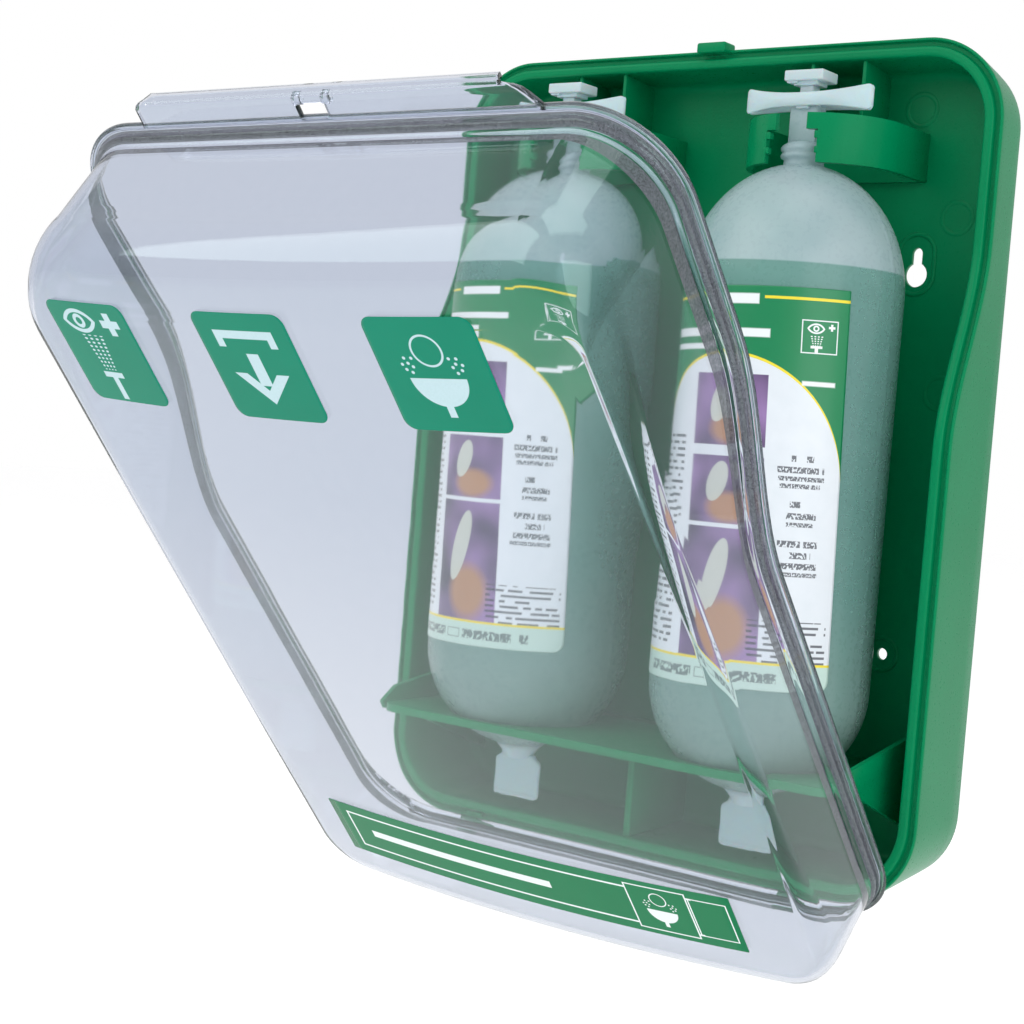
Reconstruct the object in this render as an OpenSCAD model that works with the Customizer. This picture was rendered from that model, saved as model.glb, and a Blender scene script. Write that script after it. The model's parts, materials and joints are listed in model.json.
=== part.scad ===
// Wall-mounted eyewash station: a shallow tray holds two bottles under a clear lid
// that hinges at the bottom edge. Millimetres. X is right, Y points into the wall,
// Z is up. The origin is the middle of the tray's back face, on the wall.
// The lid stands open at its stop.

/* [Bottles] */
// Radius of a bottle, also of its ball-shaped foot
bottle_r = 41; // [36:0.5:50]
// Length of the straight part of a bottle
bottle_len = 146; // [110:1:180]
// Height of the bottle's shoulder dome
shoulder_h = 47; // [38:1:58]
// Thickness of the bottle wall
bottle_t = 1.2; // [0.8:0.1:2]
// Clear space between the two bottles
bottle_gap = 26.5; // [20:0.5:40]
// Gap between a bottle and the back panel
rear_gap = 0.8; // [0.5:0.1:3]
// Height of the neck, from the dome to the twist cap's handle
neck_h = 29; // [25:1:36]
// Radius of the neck collar
collar_r = 8.7; // [7.5:0.1:9.5]
// Width of the flat neck block
block_w = 11.5; // [9:0.5:12]
// Depth of the flat neck block
block_d = 7; // [5:0.5:9]
// Height of the saline above the shoulder line of the bottle
fill_up = 9; // [2:1:20]
// Thickness of the wrap label
label_t = 0.25; // [0.15:0.05:0.4]
// Height of the wrap label
label_h = 144; // [100:1:145]
// Angle that the label wraps round the bottle
label_arc = 130; // [100:1:200]

/* [Twist cap and tabs] */
// Width of the T-handle
handle_w = 16; // [12:1:20]
// Depth of the T-handle
handle_d = 12; // [8:1:14]
// Thickness of the T-handle plate
handle_t = 4; // [3:0.5:6]
// Side of the square stem under the handle
stem_w = 5.5; // [4:0.5:6]
// Half the width of the grip band
band_r = 26.5; // [22:0.5:28]
// Height of the grip band
band_h = 9; // [6:0.5:9]
// Width of the end tab
tab_w = 23.5; // [14:0.5:26]
// Length of the end tab
tab_l = 18; // [12:1:20]

/* [Tray] */
// Room from a bottle to the outer edge of the rim, on each side
side_room = 27.2; // [24:0.2:36]
// Height of the shelf's top above the tray's bottom edge
shelf_up = 47; // [42:1:56]
// Room above the T-handles, up to the tray's top edge
head_room = 14.7; // [12:0.1:24]
// Corner radius of the rim
corner_r = 32; // [24:1:38]
// How far the back outline lies inside the rim outline
back_inset = 3.4; // [1:0.2:5]
// Depth of the rim in the upper part
rim_top_d = 26; // [22:1:34]
// Depth of the rim in the lower part
rim_low_d = 45; // [40:1:54]
// Height at which the sides begin to step back
step_low_z = 8; // [-20:1:15]
// Height at which the sides have stepped back
step_high_z = 84; // [70:1:95]
// Thickness of the back panel
back_t = 2.5; // [2:0.1:4]
// Thickness of the side wall
wall_t = 2.6; // [2:0.1:4]
// Width of the rim face
rim_w = 7; // [6:0.5:10]
// Thickness of the rim from front to back
rim_t = 5; // [4:0.5:7]
// Width of the groove in the rim
groove_w = 2.2; // [1.6:0.1:3]
// Depth of the groove in the rim
groove_d = 2.4; // [1.5:0.1:3]
// Width of the outer lip beside the groove
lip_w = 1.1; // [0.8:0.1:1.6]
// Width of the latch nub
nub_w = 13; // [8:1:18]
// Height of the latch nub
nub_h = 2.7; // [2:0.1:3.5]

/* [Wall holes] */
// Distance between the left and right holes
hole_span = 166; // [150:1:172]
// Height of the seats of the upper keyholes
keyhole_z = 82.5; // [70:0.5:90]
// Height of the lower holes
low_hole_z = -71; // [-85:0.5:-50]
// Diameter of the lower holes
hole_dia = 4.6; // [4:0.1:5.5]
// Width of the keyhole slot
slot_w = 4.6; // [4:0.1:5.5]
// Diameter of the keyhole's round mouth
mouth_dia = 9.4; // [8.5:0.1:11]
// Drop from the keyhole's seat to the middle of its mouth
key_drop = 8; // [7:0.5:10]
// Diameter of the shallow recess round each hole
recess_dia = 12; // [10.5:0.5:14]

/* [Shelf] */
// Thickness of the shelf
shelf_t = 3; // [2:0.5:4]
// Radius of each seat hole at the shelf's top
seat_r = 30; // [26:0.5:33]
// How far the shelf stands out from the wall
shelf_d = 78; // [72:1:80]
// Distance between the outer faces of the two side cheeks
cheek_span = 212; // [206:1:216]
// Height of a cheek above the shelf at the back
cheek_up = 17; // [10:1:22]
// Depth of a cheek below the shelf at the back
cheek_down = 26; // [16:1:30]

/* [Neck clips] */
// Outer radius of a clip's curved arms
clip_r = 30; // [28:0.5:32]
// Thickness of a clip's arms
clip_t = 2.6; // [2:0.1:3.5]
// Height of a clip
clip_h = 18; // [16:1:20]
// How far a clip's front stands out from the wall
clip_front = 57; // [56:0.5:60]
// Gap between the upper lips of a clip
lip_gap = 12.8; // [12.4:0.1:14]
// Gap between the lower jaws of a clip
jaw_gap = 21; // [20:0.5:23]

/* [Lid] */
// Thickness of the clear lid
lid_t = 2; // [1.6:0.1:3]
// Room from the bottles to the middle of the lid's front
front_room = 6.9; // [6:0.1:12]
// Radius between the lid's walls and its front
edge_r = 15; // [10:1:20]
// Bulge of the lid's front between its edges
crown = 4.6; // [2:0.2:6]
// Width of the lid's flange
flange_w = 5; // [4:0.5:7]
// Height of the lid's flange above the tray's rim
flange_up = 4; // [3.5:0.5:6]
// Height of the pull handle above the flange
pull_h = 10; // [8:1:14]
// Width of the pull handle
pull_w = 164; // [120:1:180]
// Angle at which the open lid rests on its stop
open_angle = 41; // [30:1:45]
// Size of the square stickers
sticker_w = 39; // [30:1:44]
// Height of the strip on the lid
strip_h = 28; // [20:1:32]
// Width of the strip on the lid
strip_w = 184; // [150:1:200]

/* [Hinge] */
// Radius of the hinge pin
pin_r = 1.5; // [1.2:0.1:1.8]
// Outer radius of the hinge eyes
eye_r = 3.1; // [2.9:0.1:3.4]
// Distance between the two hinges
hinge_span = 150; // [120:1:170]
// Width of a tray eye
eye_w = 8; // [6:1:12]
// Width of a lid eye
ear_w = 5; // [4:0.5:7]

/* [Clearances] */
// Gap between parts that move past each other
gap = 0.4; // [0.3:0.05:0.6]
// Radial clearance of a hinge pin in its eye
run_fit = 0.08; // [0.04:0.01:0.1]

/* [Hidden] */
$fn = 64;
eps = 0.01;
far = 400;

// bottle stack, measured up from the shelf
seat_rise = sqrt(pow(bottle_r + gap, 2) - pow(seat_r, 2));
handle_up = 2;
collar_h = 8.7;
cap_drop = 7;
tray_h = shelf_up + seat_rise + bottle_len + shoulder_h + neck_h + handle_up + handle_t + head_room;
shelf_z = shelf_up - tray_h / 2;
pivot_z = shelf_z + seat_rise;
shoulder_z = pivot_z + bottle_len;
neck_z = shoulder_z + shoulder_h;
block_z = neck_z + collar_h;
cap_z = neck_z + neck_h - cap_drop;
handle_z = neck_z + neck_h + handle_up;
bottle_y = -(back_t + rear_gap + bottle_r);
bottle_x = bottle_r + bottle_gap / 2;

// tray outline
tray_w = 2 * (bottle_x + bottle_r + side_room);
top_z = tray_h / 2;
inner_w = tray_w - 2 * rim_w;
inner_h = tray_h - 2 * rim_w;
rib_in = 11;
rib_t = 1.6;
web_t = 3;
rib_back = 2;
ring_h = 0.8;
ring_w = 1.5;
lip_drop = 0.9;
eye_root = 14;
nub_out = 3.4;
nub_sink = 1.5;

// clips
clip_z = neck_z;
clip_top = clip_z + clip_h;
lip_h = 6;
clip_foot_t = 2;
arm_y = -(clip_front - clip_r);

// lid, drawn closed
seam = 0.4;
face_d = -bottle_y + bottle_r + front_room;
dome_w = tray_w - 2 * flange_w;
dome_drop = 3.5;
dome_over = 0.5;
dome_top = top_z - dome_drop;
dome_low = -top_z - dome_over;
dome_h = dome_top - dome_low;
dome_z = (dome_top + dome_low) / 2;
lid_top = top_z + flange_up;
hinge_out = 2.2;
hinge_y = -(rim_low_d + hinge_out);
hinge_z = -(top_z + eye_r + gap);
sticker_z = 111;
sticker_xs = [-78, -7.5, 62];
strip_z = -121.5;
strip_x = -3.4;
stop_gap = 0.25;
print_t = 0.25;

// 2D rectangle with round corners, centred
module rounded(w, h, r) {
    square([w - 2 * r, h], center = true);
    square([w, h - 2 * r], center = true);
    for (x = [-1, 1], z = [-1, 1])
        translate([x * (w / 2 - r), z * (h / 2 - r)]) circle(r);
}

// an outline in the XZ plane, carried from depth d to depth d + t in front of the wall
module plate(d, t) {
    translate([0, -d, 0]) rotate([90, 0, 0]) linear_extrude(t) children();
}

// depth of the rim at height z: it steps back towards the top in an S-curve
function step_t(z) = min(1, max(0, (z - step_low_z) / (step_high_z - step_low_z)));
function smooth(t) = t * t * (3 - 2 * t);
function rim_d(z) = rim_low_d + (rim_top_d - rim_low_d) * smooth(step_t(z));
step_zs = [for (i = [0:16]) step_low_z + (step_high_z - step_low_z) * i / 16];

// everything behind the rim surface moved forwards by out
module behind_rim(out) {
    rotate([90, 0, 90]) translate([0, 0, -far / 2]) linear_extrude(far)
        polygon(concat([[far, -far], [-rim_d(-far) - out, -far]],
            [for (z = step_zs) [-rim_d(z) - out, z]],
            [[-rim_d(far) - out, far], [far, far]]));
}

// the band between two copies of the rim surface
module rim_band(out_low, out_high) {
    difference() {
        intersection() {
            children();
            behind_rim(out_high);
        }
        behind_rim(out_low);
    }
}

// the tray's outline at an inset, narrower at the back
module tapered(inset) {
    slice = 0.1;
    back = back_inset + inset;
    hull() {
        plate(inset > 0 ? back_t : 0, slice)
            rounded(tray_w - 2 * back, tray_h - 2 * back, corner_r - back);
        plate(rim_low_d - slice, slice + (inset > 0 ? 1 : 0))
            rounded(tray_w - 2 * inset, tray_h - 2 * inset, corner_r - inset);
    }
}

module rim_ring(from, to) {
    plate(0, far / 4) difference() {
        rounded(tray_w - 2 * from, tray_h - 2 * from, corner_r - from);
        rounded(tray_w - 2 * to, tray_h - 2 * to, corner_r - to);
    }
}

module keyhole() {
    plate(-1, back_t + 2) {
        circle(d = mouth_dia);
        translate([0, key_drop]) circle(d = slot_w);
        translate([-slot_w / 2, 0]) square([slot_w, key_drop]);
    }
}

module tray_ribs() {
    rib_low = clip_top + gap;
    for (side = [-1, 1], off = [-rib_in, rib_in])
        translate([side * bottle_x + off - rib_t / 2, -(rim_top_d - rib_back), rib_low])
            cube([rib_t, rim_top_d - rib_back - back_t + eps, top_z - wall_t - back_inset - rib_low]);
    translate([-web_t / 2, -(rim_low_d - rib_back), -top_z + wall_t + 1])
        cube([web_t, rim_low_d - rib_back - back_t + eps, shelf_up - shelf_t - wall_t - 1 - gap]);
}

module tray_eyes() {
    for (side = [-1, 1])
        translate([side * hinge_span / 2 - eye_w / 2, 0, 0]) {
            translate([0, hinge_y, hinge_z]) rotate([0, 90, 0]) cylinder(r = eye_r, h = eye_w);
            translate([0, hinge_y, hinge_z]) cube([eye_w, eye_root, eye_r]);
            translate([0, -rim_low_d + gap, hinge_z])
                cube([eye_w, eye_root + hinge_y + rim_low_d - gap, -top_z + wall_t - hinge_z]);
        }
}

module raised_ring(dia) {
    plate(back_t - eps, ring_h) difference() {
        circle(d = dia + 2 * ring_w);
        circle(d = dia);
    }
}

module tray() {
    color([0.0, 0.52, 0.33]) difference() {
        union() {
            difference() {
                intersection() {
                    tapered(0);
                    behind_rim(0);
                }
                tapered(wall_t);
            }
            rim_band(-rim_t, 0) rim_ring(0, rim_w);
            tray_ribs();
            translate([-nub_w / 2, -(rim_top_d + nub_out), top_z - nub_sink])
                cube([nub_w, rim_t + nub_out, nub_h + nub_sink]);
            tray_eyes();
            for (side = [-1, 1]) {
                translate([side * hole_span / 2, 0, keyhole_z - key_drop / 2])
                    raised_ring(recess_dia + key_drop);
                translate([side * hole_span / 2, 0, low_hole_z]) raised_ring(recess_dia);
            }
        }
        rim_band(-groove_d, 1) rim_ring(lip_w, lip_w + groove_w);
        rim_band(-lip_drop, 1) rim_ring(-1, lip_w);
        for (side = [-1, 1]) {
            translate([side * hole_span / 2, 0, keyhole_z - key_drop]) keyhole();
            translate([side * hole_span / 2, 0, low_hole_z])
                rotate([90, 0, 0]) translate([0, 0, -1]) cylinder(d = hole_dia, h = back_t + 2);
            translate([side * hinge_span / 2 - eye_w / 2 - 1, hinge_y, hinge_z])
                rotate([0, 90, 0]) cylinder(r = pin_r, h = eye_w + 2);
        }
    }
}

// one cheek's outline, seen from the side: y to the wall, z up
module cheek_side() {
    toe_in = 4;
    foot_in = 6;
    chin_in = 16;
    brow_in = 12;
    brow_up = 6;
    ridge_in = 30;
    ridge_up = 9;
    polygon([[-back_t, shelf_z + cheek_up], [-back_t, shelf_z - cheek_down],
        [chin_in - shelf_d, shelf_z - shelf_t], [foot_in - shelf_d, shelf_z - shelf_t],
        [toe_in - shelf_d, shelf_z], [brow_in - shelf_d, shelf_z + brow_up],
        [ridge_in - shelf_d, shelf_z + ridge_up]]);
}

module shelf_outline() {
    nose_r = 10;
    nose_w = cheek_span - 2.4 * nose_r;
    translate([-cheek_span / 2 + eps, -shelf_d + nose_r])
        square([cheek_span - 2 * eps, shelf_d - nose_r - back_t]);
    translate([-nose_w / 2, -shelf_d]) square([nose_w, 1.2 * nose_r]);
    for (side = [-1, 1]) translate([side * nose_w / 2, -shelf_d + nose_r]) circle(nose_r);
}

module bottle_shelf() {
    cheek_t = 2;
    color([0.05, 0.56, 0.37]) difference() {
        union() {
            translate([0, 0, shelf_z - shelf_t]) linear_extrude(shelf_t) shelf_outline();
            for (side = [-1, 1])
                translate([side * (cheek_span - cheek_t) / 2 - cheek_t / 2, 0, 0])
                    rotate([90, 0, 90]) linear_extrude(cheek_t) cheek_side();
        }
        for (side = [-1, 1])
            translate([side * bottle_x, bottle_y, pivot_z]) sphere(r = bottle_r + gap, $fn = 128);
    }
}

// a U in plan, round at the front, ending at a depth of back from the wall
module clip_outline(r, back) {
    intersection() {
        union() {
            translate([0, arm_y]) circle(r);
            translate([-r, arm_y]) square([2 * r, -arm_y]);
        }
        translate([-r - 1, -far]) square([2 * r + 2, far - back]);
    }
}

module neck_clip(side) {
    front_cut = clip_front + arm_y + 1;
    color([0.0, 0.52, 0.33]) translate([side * bottle_x, 0, clip_z]) difference() {
        linear_extrude(clip_h) difference() {
            clip_outline(clip_r, back_t);
            clip_outline(clip_r - clip_t, back_t + clip_foot_t);
            translate([-lip_gap / 2, -clip_front - 1]) square([lip_gap, front_cut]);
        }
        translate([-jaw_gap / 2, -clip_front - 1, -1]) cube([jaw_gap, front_cut, clip_h - lip_h + 1]);
    }
}

module hinge_pin(side) {
    pin_l = eye_w + 2 * ear_w + 2 * gap;
    color("silver") translate([side * hinge_span / 2 - pin_l / 2, hinge_y, hinge_z])
        rotate([0, 90, 0]) cylinder(r = pin_r, h = pin_l);
}

// the lid's solid dome, grown or shrunk by out; a stack of rounded slices
arc_steps = [0, 15, 30, 45, 60, 75, 90];
crown_steps = [0.7, 0.35, 0.05];
draft = 1.5;
face_tilt = 0.75;
edge_d = face_d - crown - edge_r;

module dome(out) {
    root_in = 8;
    hull() {
        plate(rim_top_d - root_in, 0.1) translate([0, dome_z])
            rounded(dome_w + 2 * out, dome_h + 2 * out, corner_r - flange_w + out);
        for (a = arc_steps)
            dome_slice(edge_d + (edge_r + out) * sin(a), draft + edge_r - (edge_r + out) * cos(a));
        for (u = crown_steps)
            dome_slice(edge_d + edge_r + out + crown * (1 - u * u),
                (1 - u) * (dome_w / 2 - edge_r) + u * (draft + edge_r));
    }
}

module dome_slice(d, inset) {
    slice = 0.05;
    least_r = 2;
    wide = dome_w - 2 * inset;
    tall = dome_h - 2 * inset * dome_h / dome_w;
    round_r = max(least_r, corner_r - flange_w - inset);
    translate([0, 0, dome_z]) rotate([face_tilt, 0, 0]) plate(d - slice, slice)
        rounded(wide, max(tall, 2 * round_r + 1), min(round_r, wide / 2 - 0.5));
}

module flange_outline(inset) {
    low = -top_z + inset;
    high = lid_top - inset;
    translate([0, (low + high) / 2]) rounded(tray_w - 2 * inset, high - low, corner_r - inset);
}

module lid_pull() {
    hook = 3.5;
    hook_t = 1.6;
    round_r = 3;
    d = rim_top_d + seam;
    difference() {
        union() {
            plate(d, lid_t) translate([0, lid_top]) rounded(pull_w, 2 * pull_h, round_r);
            plate(d - hook, hook + eps) translate([round_r - pull_w / 2, lid_top + pull_h - hook_t])
                square([pull_w - 2 * round_r, hook_t]);
        }
        plate(0, far / 4) translate([-pull_w, lid_top - 2 * pull_h]) square([2 * pull_w, 2 * pull_h]);
    }
}

// the hinge sits ear_back behind the front of each ear's web
ear_back = 1.6;

function ear_x(side, s) = side * hinge_span / 2 + s * (eye_w / 2 + gap + ear_w / 2) - ear_w / 2;

module lid_ears() {
    web_h = 6.5;
    for (side = [-1, 1], s = [-1, 1]) {
        translate([ear_x(side, s), hinge_y, hinge_z]) rotate([0, 90, 0]) cylinder(r = eye_r, h = ear_w);
        translate([ear_x(side, s), hinge_y - ear_back, hinge_z]) cube([ear_w, lid_t + 1, web_h]);
    }
}

// heel that meets the tray's bottom wall when the lid is open, drawn open
module lid_heels() {
    heel_l = 7.5;
    heel_top = -top_z - stop_gap;
    for (side = [-1, 1], s = [-1, 1])
        translate([ear_x(side, s), hinge_y, hinge_z - ear_back])
            cube([ear_w, heel_l, heel_top - hinge_z + ear_back]);
}

module swung() {
    translate([0, hinge_y, hinge_z]) rotate([open_angle, 0, 0])
        translate([0, -hinge_y, -hinge_z]) children();
}

module latch_window() {
    room = 2 * gap;
    above = 4;
    plate(0, far / 4) translate([-nub_w / 2 - room, top_z - nub_sink - gap])
        square([nub_w + 2 * room, nub_h + nub_sink + above]);
}

module lid() {
    color([0.8, 0.86, 0.9, 0.35]) difference() {
        union() {
            swung() difference() {
                union() {
                    difference() {
                        dome(0);
                        behind_rim(seam);
                        dome(-lid_t);
                    }
                    rim_band(seam, seam + lid_t) plate(0, far / 4) difference() {
                        flange_outline(0);
                        translate([0, dome_z])
                            rounded(dome_w - 2 * lid_t, dome_h - 2 * lid_t, corner_r - flange_w - lid_t);
                    }
                    lid_pull();
                    lid_ears();
                }
                latch_window();
            }
            lid_heels();
        }
        for (side = [-1, 1])
            translate([side * hinge_span / 2 - 2 * eye_w, hinge_y, hinge_z])
                rotate([0, 90, 0]) cylinder(r = pin_r + run_fit, h = 4 * eye_w);
    }
}

// a printed film on the lid's front, bounded by an outline in the XZ plane
module on_front(green) {
    color(green) swung() intersection() {
        difference() {
            dome(print_t);
            dome(0);
        }
        plate(edge_d, far / 4) children();
    }
}

module sticker(i) {
    round_r = 3.5;
    on_front([0.0, 0.5, 0.4])
        translate([sticker_xs[i], sticker_z]) rounded(sticker_w, sticker_w + 1, round_r);
}

module name_strip() {
    on_front([0.15, 0.48, 0.28]) translate([strip_x, strip_z]) square([strip_w, strip_h], center = true);
}

// half profile of a bottle, grown by out: a ball foot, a straight wall and a shoulder dome
module bottle_profile(out) {
    dome_sink = 0.8;
    r = bottle_r + out;
    difference() {
        union() {
            translate([0, pivot_z]) circle(r, $fn = 128);
            translate([0, pivot_z]) square([r, bottle_len]);
            translate([0, shoulder_z]) scale([1, (shoulder_h + out + dome_sink) / r]) circle(r, $fn = 128);
        }
        translate([-far, -far]) square([far, 2 * far]);
    }
}

module at_bottle(side) {
    translate([side * bottle_x, bottle_y, 0]) children();
}

module bottle_shape(out) {
    rotate_extrude() bottle_profile(out);
}

module bottle(side) {
    bead_h = 1.8;
    bead_ups = [2.5, 6];
    neck_in = 1.2;
    color([0.75, 0.83, 0.86, 0.6]) at_bottle(side) {
        difference() {
            bottle_shape(0);
            bottle_shape(-bottle_t);
        }
        translate([0, 0, neck_z - 1]) cylinder(r = collar_r - neck_in, h = collar_h + 1);
        for (up = bead_ups) translate([0, 0, neck_z + up]) cylinder(r = collar_r, h = bead_h);
        translate([-block_w / 2, -block_d / 2, block_z - eps]) cube([block_w, block_d, cap_z - block_z]);
    }
}

module saline(side) {
    film = 0.05;
    foot_z = pivot_z - bottle_r;
    color([0.6, 0.75, 0.75, 0.8]) at_bottle(side) intersection() {
        bottle_shape(-bottle_t - film);
        translate([0, 0, foot_z]) cylinder(r = far / 4, h = shoulder_z + fill_up - foot_z);
    }
}

module label(side) {
    label_up = 1.5;
    low = pivot_z + label_up;
    color("white") at_bottle(side) intersection() {
        translate([0, 0, low]) difference() {
            cylinder(r = bottle_r + label_t, h = label_h, $fn = 128);
            translate([0, 0, -1]) cylinder(r = bottle_r, h = label_h + 2, $fn = 128);
        }
        translate([0, 0, low]) linear_extrude(label_h)
            polygon(concat([[0, 0]], [for (a = [-90 - label_arc / 2:label_arc / 8:-89.9 + label_arc / 2])
                far / 4 * [cos(a), sin(a)]]));
    }
}

// closed loop round the neck, a lens shape seen from above
module grip_band(side) {
    band_up = 2.2;
    band_t = 1.4;
    bow = 2.6;
    web_w = 5;
    web_in = 0.8;
    cap_gap = 0.3;
    band_z = clip_top + band_up;
    half_d = block_d / 2 + bow;
    bow_r = (pow(band_r, 2) + pow(half_d, 2)) / (2 * half_d);
    color([0.8, 0.86, 0.9]) at_bottle(side) translate([0, 0, band_z]) {
        difference() {
            lens(bow_r, half_d, band_h);
            translate([0, 0, -1]) lens(bow_r - band_t, half_d - band_t, band_h + 2);
        }
        for (s = [-1, 1])
            translate([-web_w / 2, s > 0 ? block_d / 2 : web_in - half_d, 0])
                cube([web_w, bow - web_in, cap_z - band_z - cap_gap]);
    }
}

module lens(r, half_d, h) {
    intersection_for(s = [-1, 1])
        translate([0, s * (r - half_d), 0]) cylinder(r = r, h = h, $fn = 128);
}

module end_tab(side) {
    root_r = 9;
    tip_r = 5.5;
    root_h = 5;
    tab_t = 2.4;
    foot_z = pivot_z - bottle_r;
    color([0.8, 0.86, 0.88]) at_bottle(side) {
        difference() {
            translate([0, 0, foot_z - root_h]) cylinder(r1 = tip_r, r2 = root_r, h = root_h + 2);
            bottle_shape(0);
        }
        translate([-tab_w / 2, -tab_t / 2, foot_z - root_h + 1 - tab_l]) cube([tab_w, tab_t, tab_l]);
    }
}

module twist_cap(side) {
    lift = 0.1;
    step_h = 1.6;
    step_w = handle_w - 6;
    step_d = handle_d - 4;
    color([0.85, 0.9, 0.93]) at_bottle(side) {
        translate([-stem_w / 2, -stem_w / 2, cap_z + lift]) cube([stem_w, stem_w, handle_z - cap_z]);
        translate([-handle_w / 2, -handle_d / 2, handle_z]) cube([handle_w, handle_d, handle_t]);
        translate([-step_w / 2, -step_d / 2, handle_z - step_h]) cube([step_w, step_d, step_h + eps]);
    }
}

tray();
bottle_shelf();
neck_clip(-1);  // left_neck_clip
neck_clip(1);  // right_neck_clip
hinge_pin(-1);  // left_hinge_pin
hinge_pin(1);  // right_hinge_pin
lid();
sticker(0);  // eye_rinse_sticker
sticker(1);  // pull_sticker
sticker(2);  // basin_sticker
name_strip();
bottle(-1);  // left_bottle
saline(-1);  // left_saline
label(-1);  // left_label
grip_band(-1);  // left_grip_band
end_tab(-1);  // left_end_tab
twist_cap(-1);  // left_twist_cap
bottle(1);  // right_bottle
saline(1);  // right_saline
label(1);  // right_label
grip_band(1);  // right_grip_band
end_tab(1);  // right_end_tab
twist_cap(1);  // right_twist_cap
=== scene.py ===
import bmesh
import bpy
import json
import math
import numpy as np
from mathutils import Matrix, Vector


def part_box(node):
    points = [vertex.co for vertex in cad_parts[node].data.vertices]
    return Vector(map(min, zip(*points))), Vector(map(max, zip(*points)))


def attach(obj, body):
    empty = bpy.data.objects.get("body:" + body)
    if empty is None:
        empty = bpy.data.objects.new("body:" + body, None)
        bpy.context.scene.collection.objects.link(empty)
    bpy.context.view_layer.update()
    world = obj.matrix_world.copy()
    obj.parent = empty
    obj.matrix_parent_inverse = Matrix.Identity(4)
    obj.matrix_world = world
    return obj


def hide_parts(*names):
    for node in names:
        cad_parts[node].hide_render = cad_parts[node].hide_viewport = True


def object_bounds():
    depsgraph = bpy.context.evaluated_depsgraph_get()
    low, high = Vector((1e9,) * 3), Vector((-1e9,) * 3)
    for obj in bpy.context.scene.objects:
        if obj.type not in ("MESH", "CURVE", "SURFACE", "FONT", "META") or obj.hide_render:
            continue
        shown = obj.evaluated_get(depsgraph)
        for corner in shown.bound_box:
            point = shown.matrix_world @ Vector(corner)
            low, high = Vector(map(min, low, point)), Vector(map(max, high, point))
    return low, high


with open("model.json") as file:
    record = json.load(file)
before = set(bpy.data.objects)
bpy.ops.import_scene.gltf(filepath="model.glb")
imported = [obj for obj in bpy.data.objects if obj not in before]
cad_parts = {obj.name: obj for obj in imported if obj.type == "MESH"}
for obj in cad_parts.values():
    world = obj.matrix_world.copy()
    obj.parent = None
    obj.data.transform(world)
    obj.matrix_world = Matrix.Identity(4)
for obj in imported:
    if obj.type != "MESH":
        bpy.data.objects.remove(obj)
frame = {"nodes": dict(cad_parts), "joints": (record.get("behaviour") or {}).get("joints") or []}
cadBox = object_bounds()
mm = 0.001

# camera, lights, floor
view = dict(focal=66.13, sensor=36, yaw=0.6462, pitch=-0.0473, roll=0.0793,
            place=(400.2, -665.3, 6.3))


def makeCamera():
    yaw, pitch, roll = view["yaw"], view["pitch"], view["roll"]
    forward = Vector((-math.sin(yaw) * math.cos(pitch), math.cos(yaw) * math.cos(pitch), math.sin(pitch)))
    level = Vector((math.cos(yaw), math.sin(yaw), 0))
    over = level.cross(forward)
    right = level * math.cos(roll) + over * math.sin(roll)
    up = over * math.cos(roll) - level * math.sin(roll)
    data = bpy.data.cameras.new("stationCamera")
    data.lens, data.sensor_width = view["focal"], view["sensor"]
    data.clip_start, data.clip_end = 0.01, 30
    camera = bpy.data.objects.new("stationCamera", data)
    turn = Matrix((right, up, -forward)).transposed().to_4x4()
    camera.matrix_world = Matrix.Translation(Vector(view["place"]) * mm) @ turn
    bpy.context.scene.collection.objects.link(camera)
    bpy.context.scene.camera = camera


studio = dict(seen=1.0, fill=0.72, backdrop=(0.60, 0.64, 0.735), backdropLow=(0.83, 0.85, 0.90),
              floorDrop=0.16,
              lamps=[("keyLamp", (-0.9, -1.5, 1.3), 1.6, 13, (1.0, 0.99, 0.97)),
                     ("sideLamp", (1.5, -0.9, 0.5), 1.2, 8, (0.97, 0.99, 1.0)),
                     ("topLamp", (0.3, -0.3, 1.8), 1.2, 6, (1.0, 1.0, 1.0))])


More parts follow.
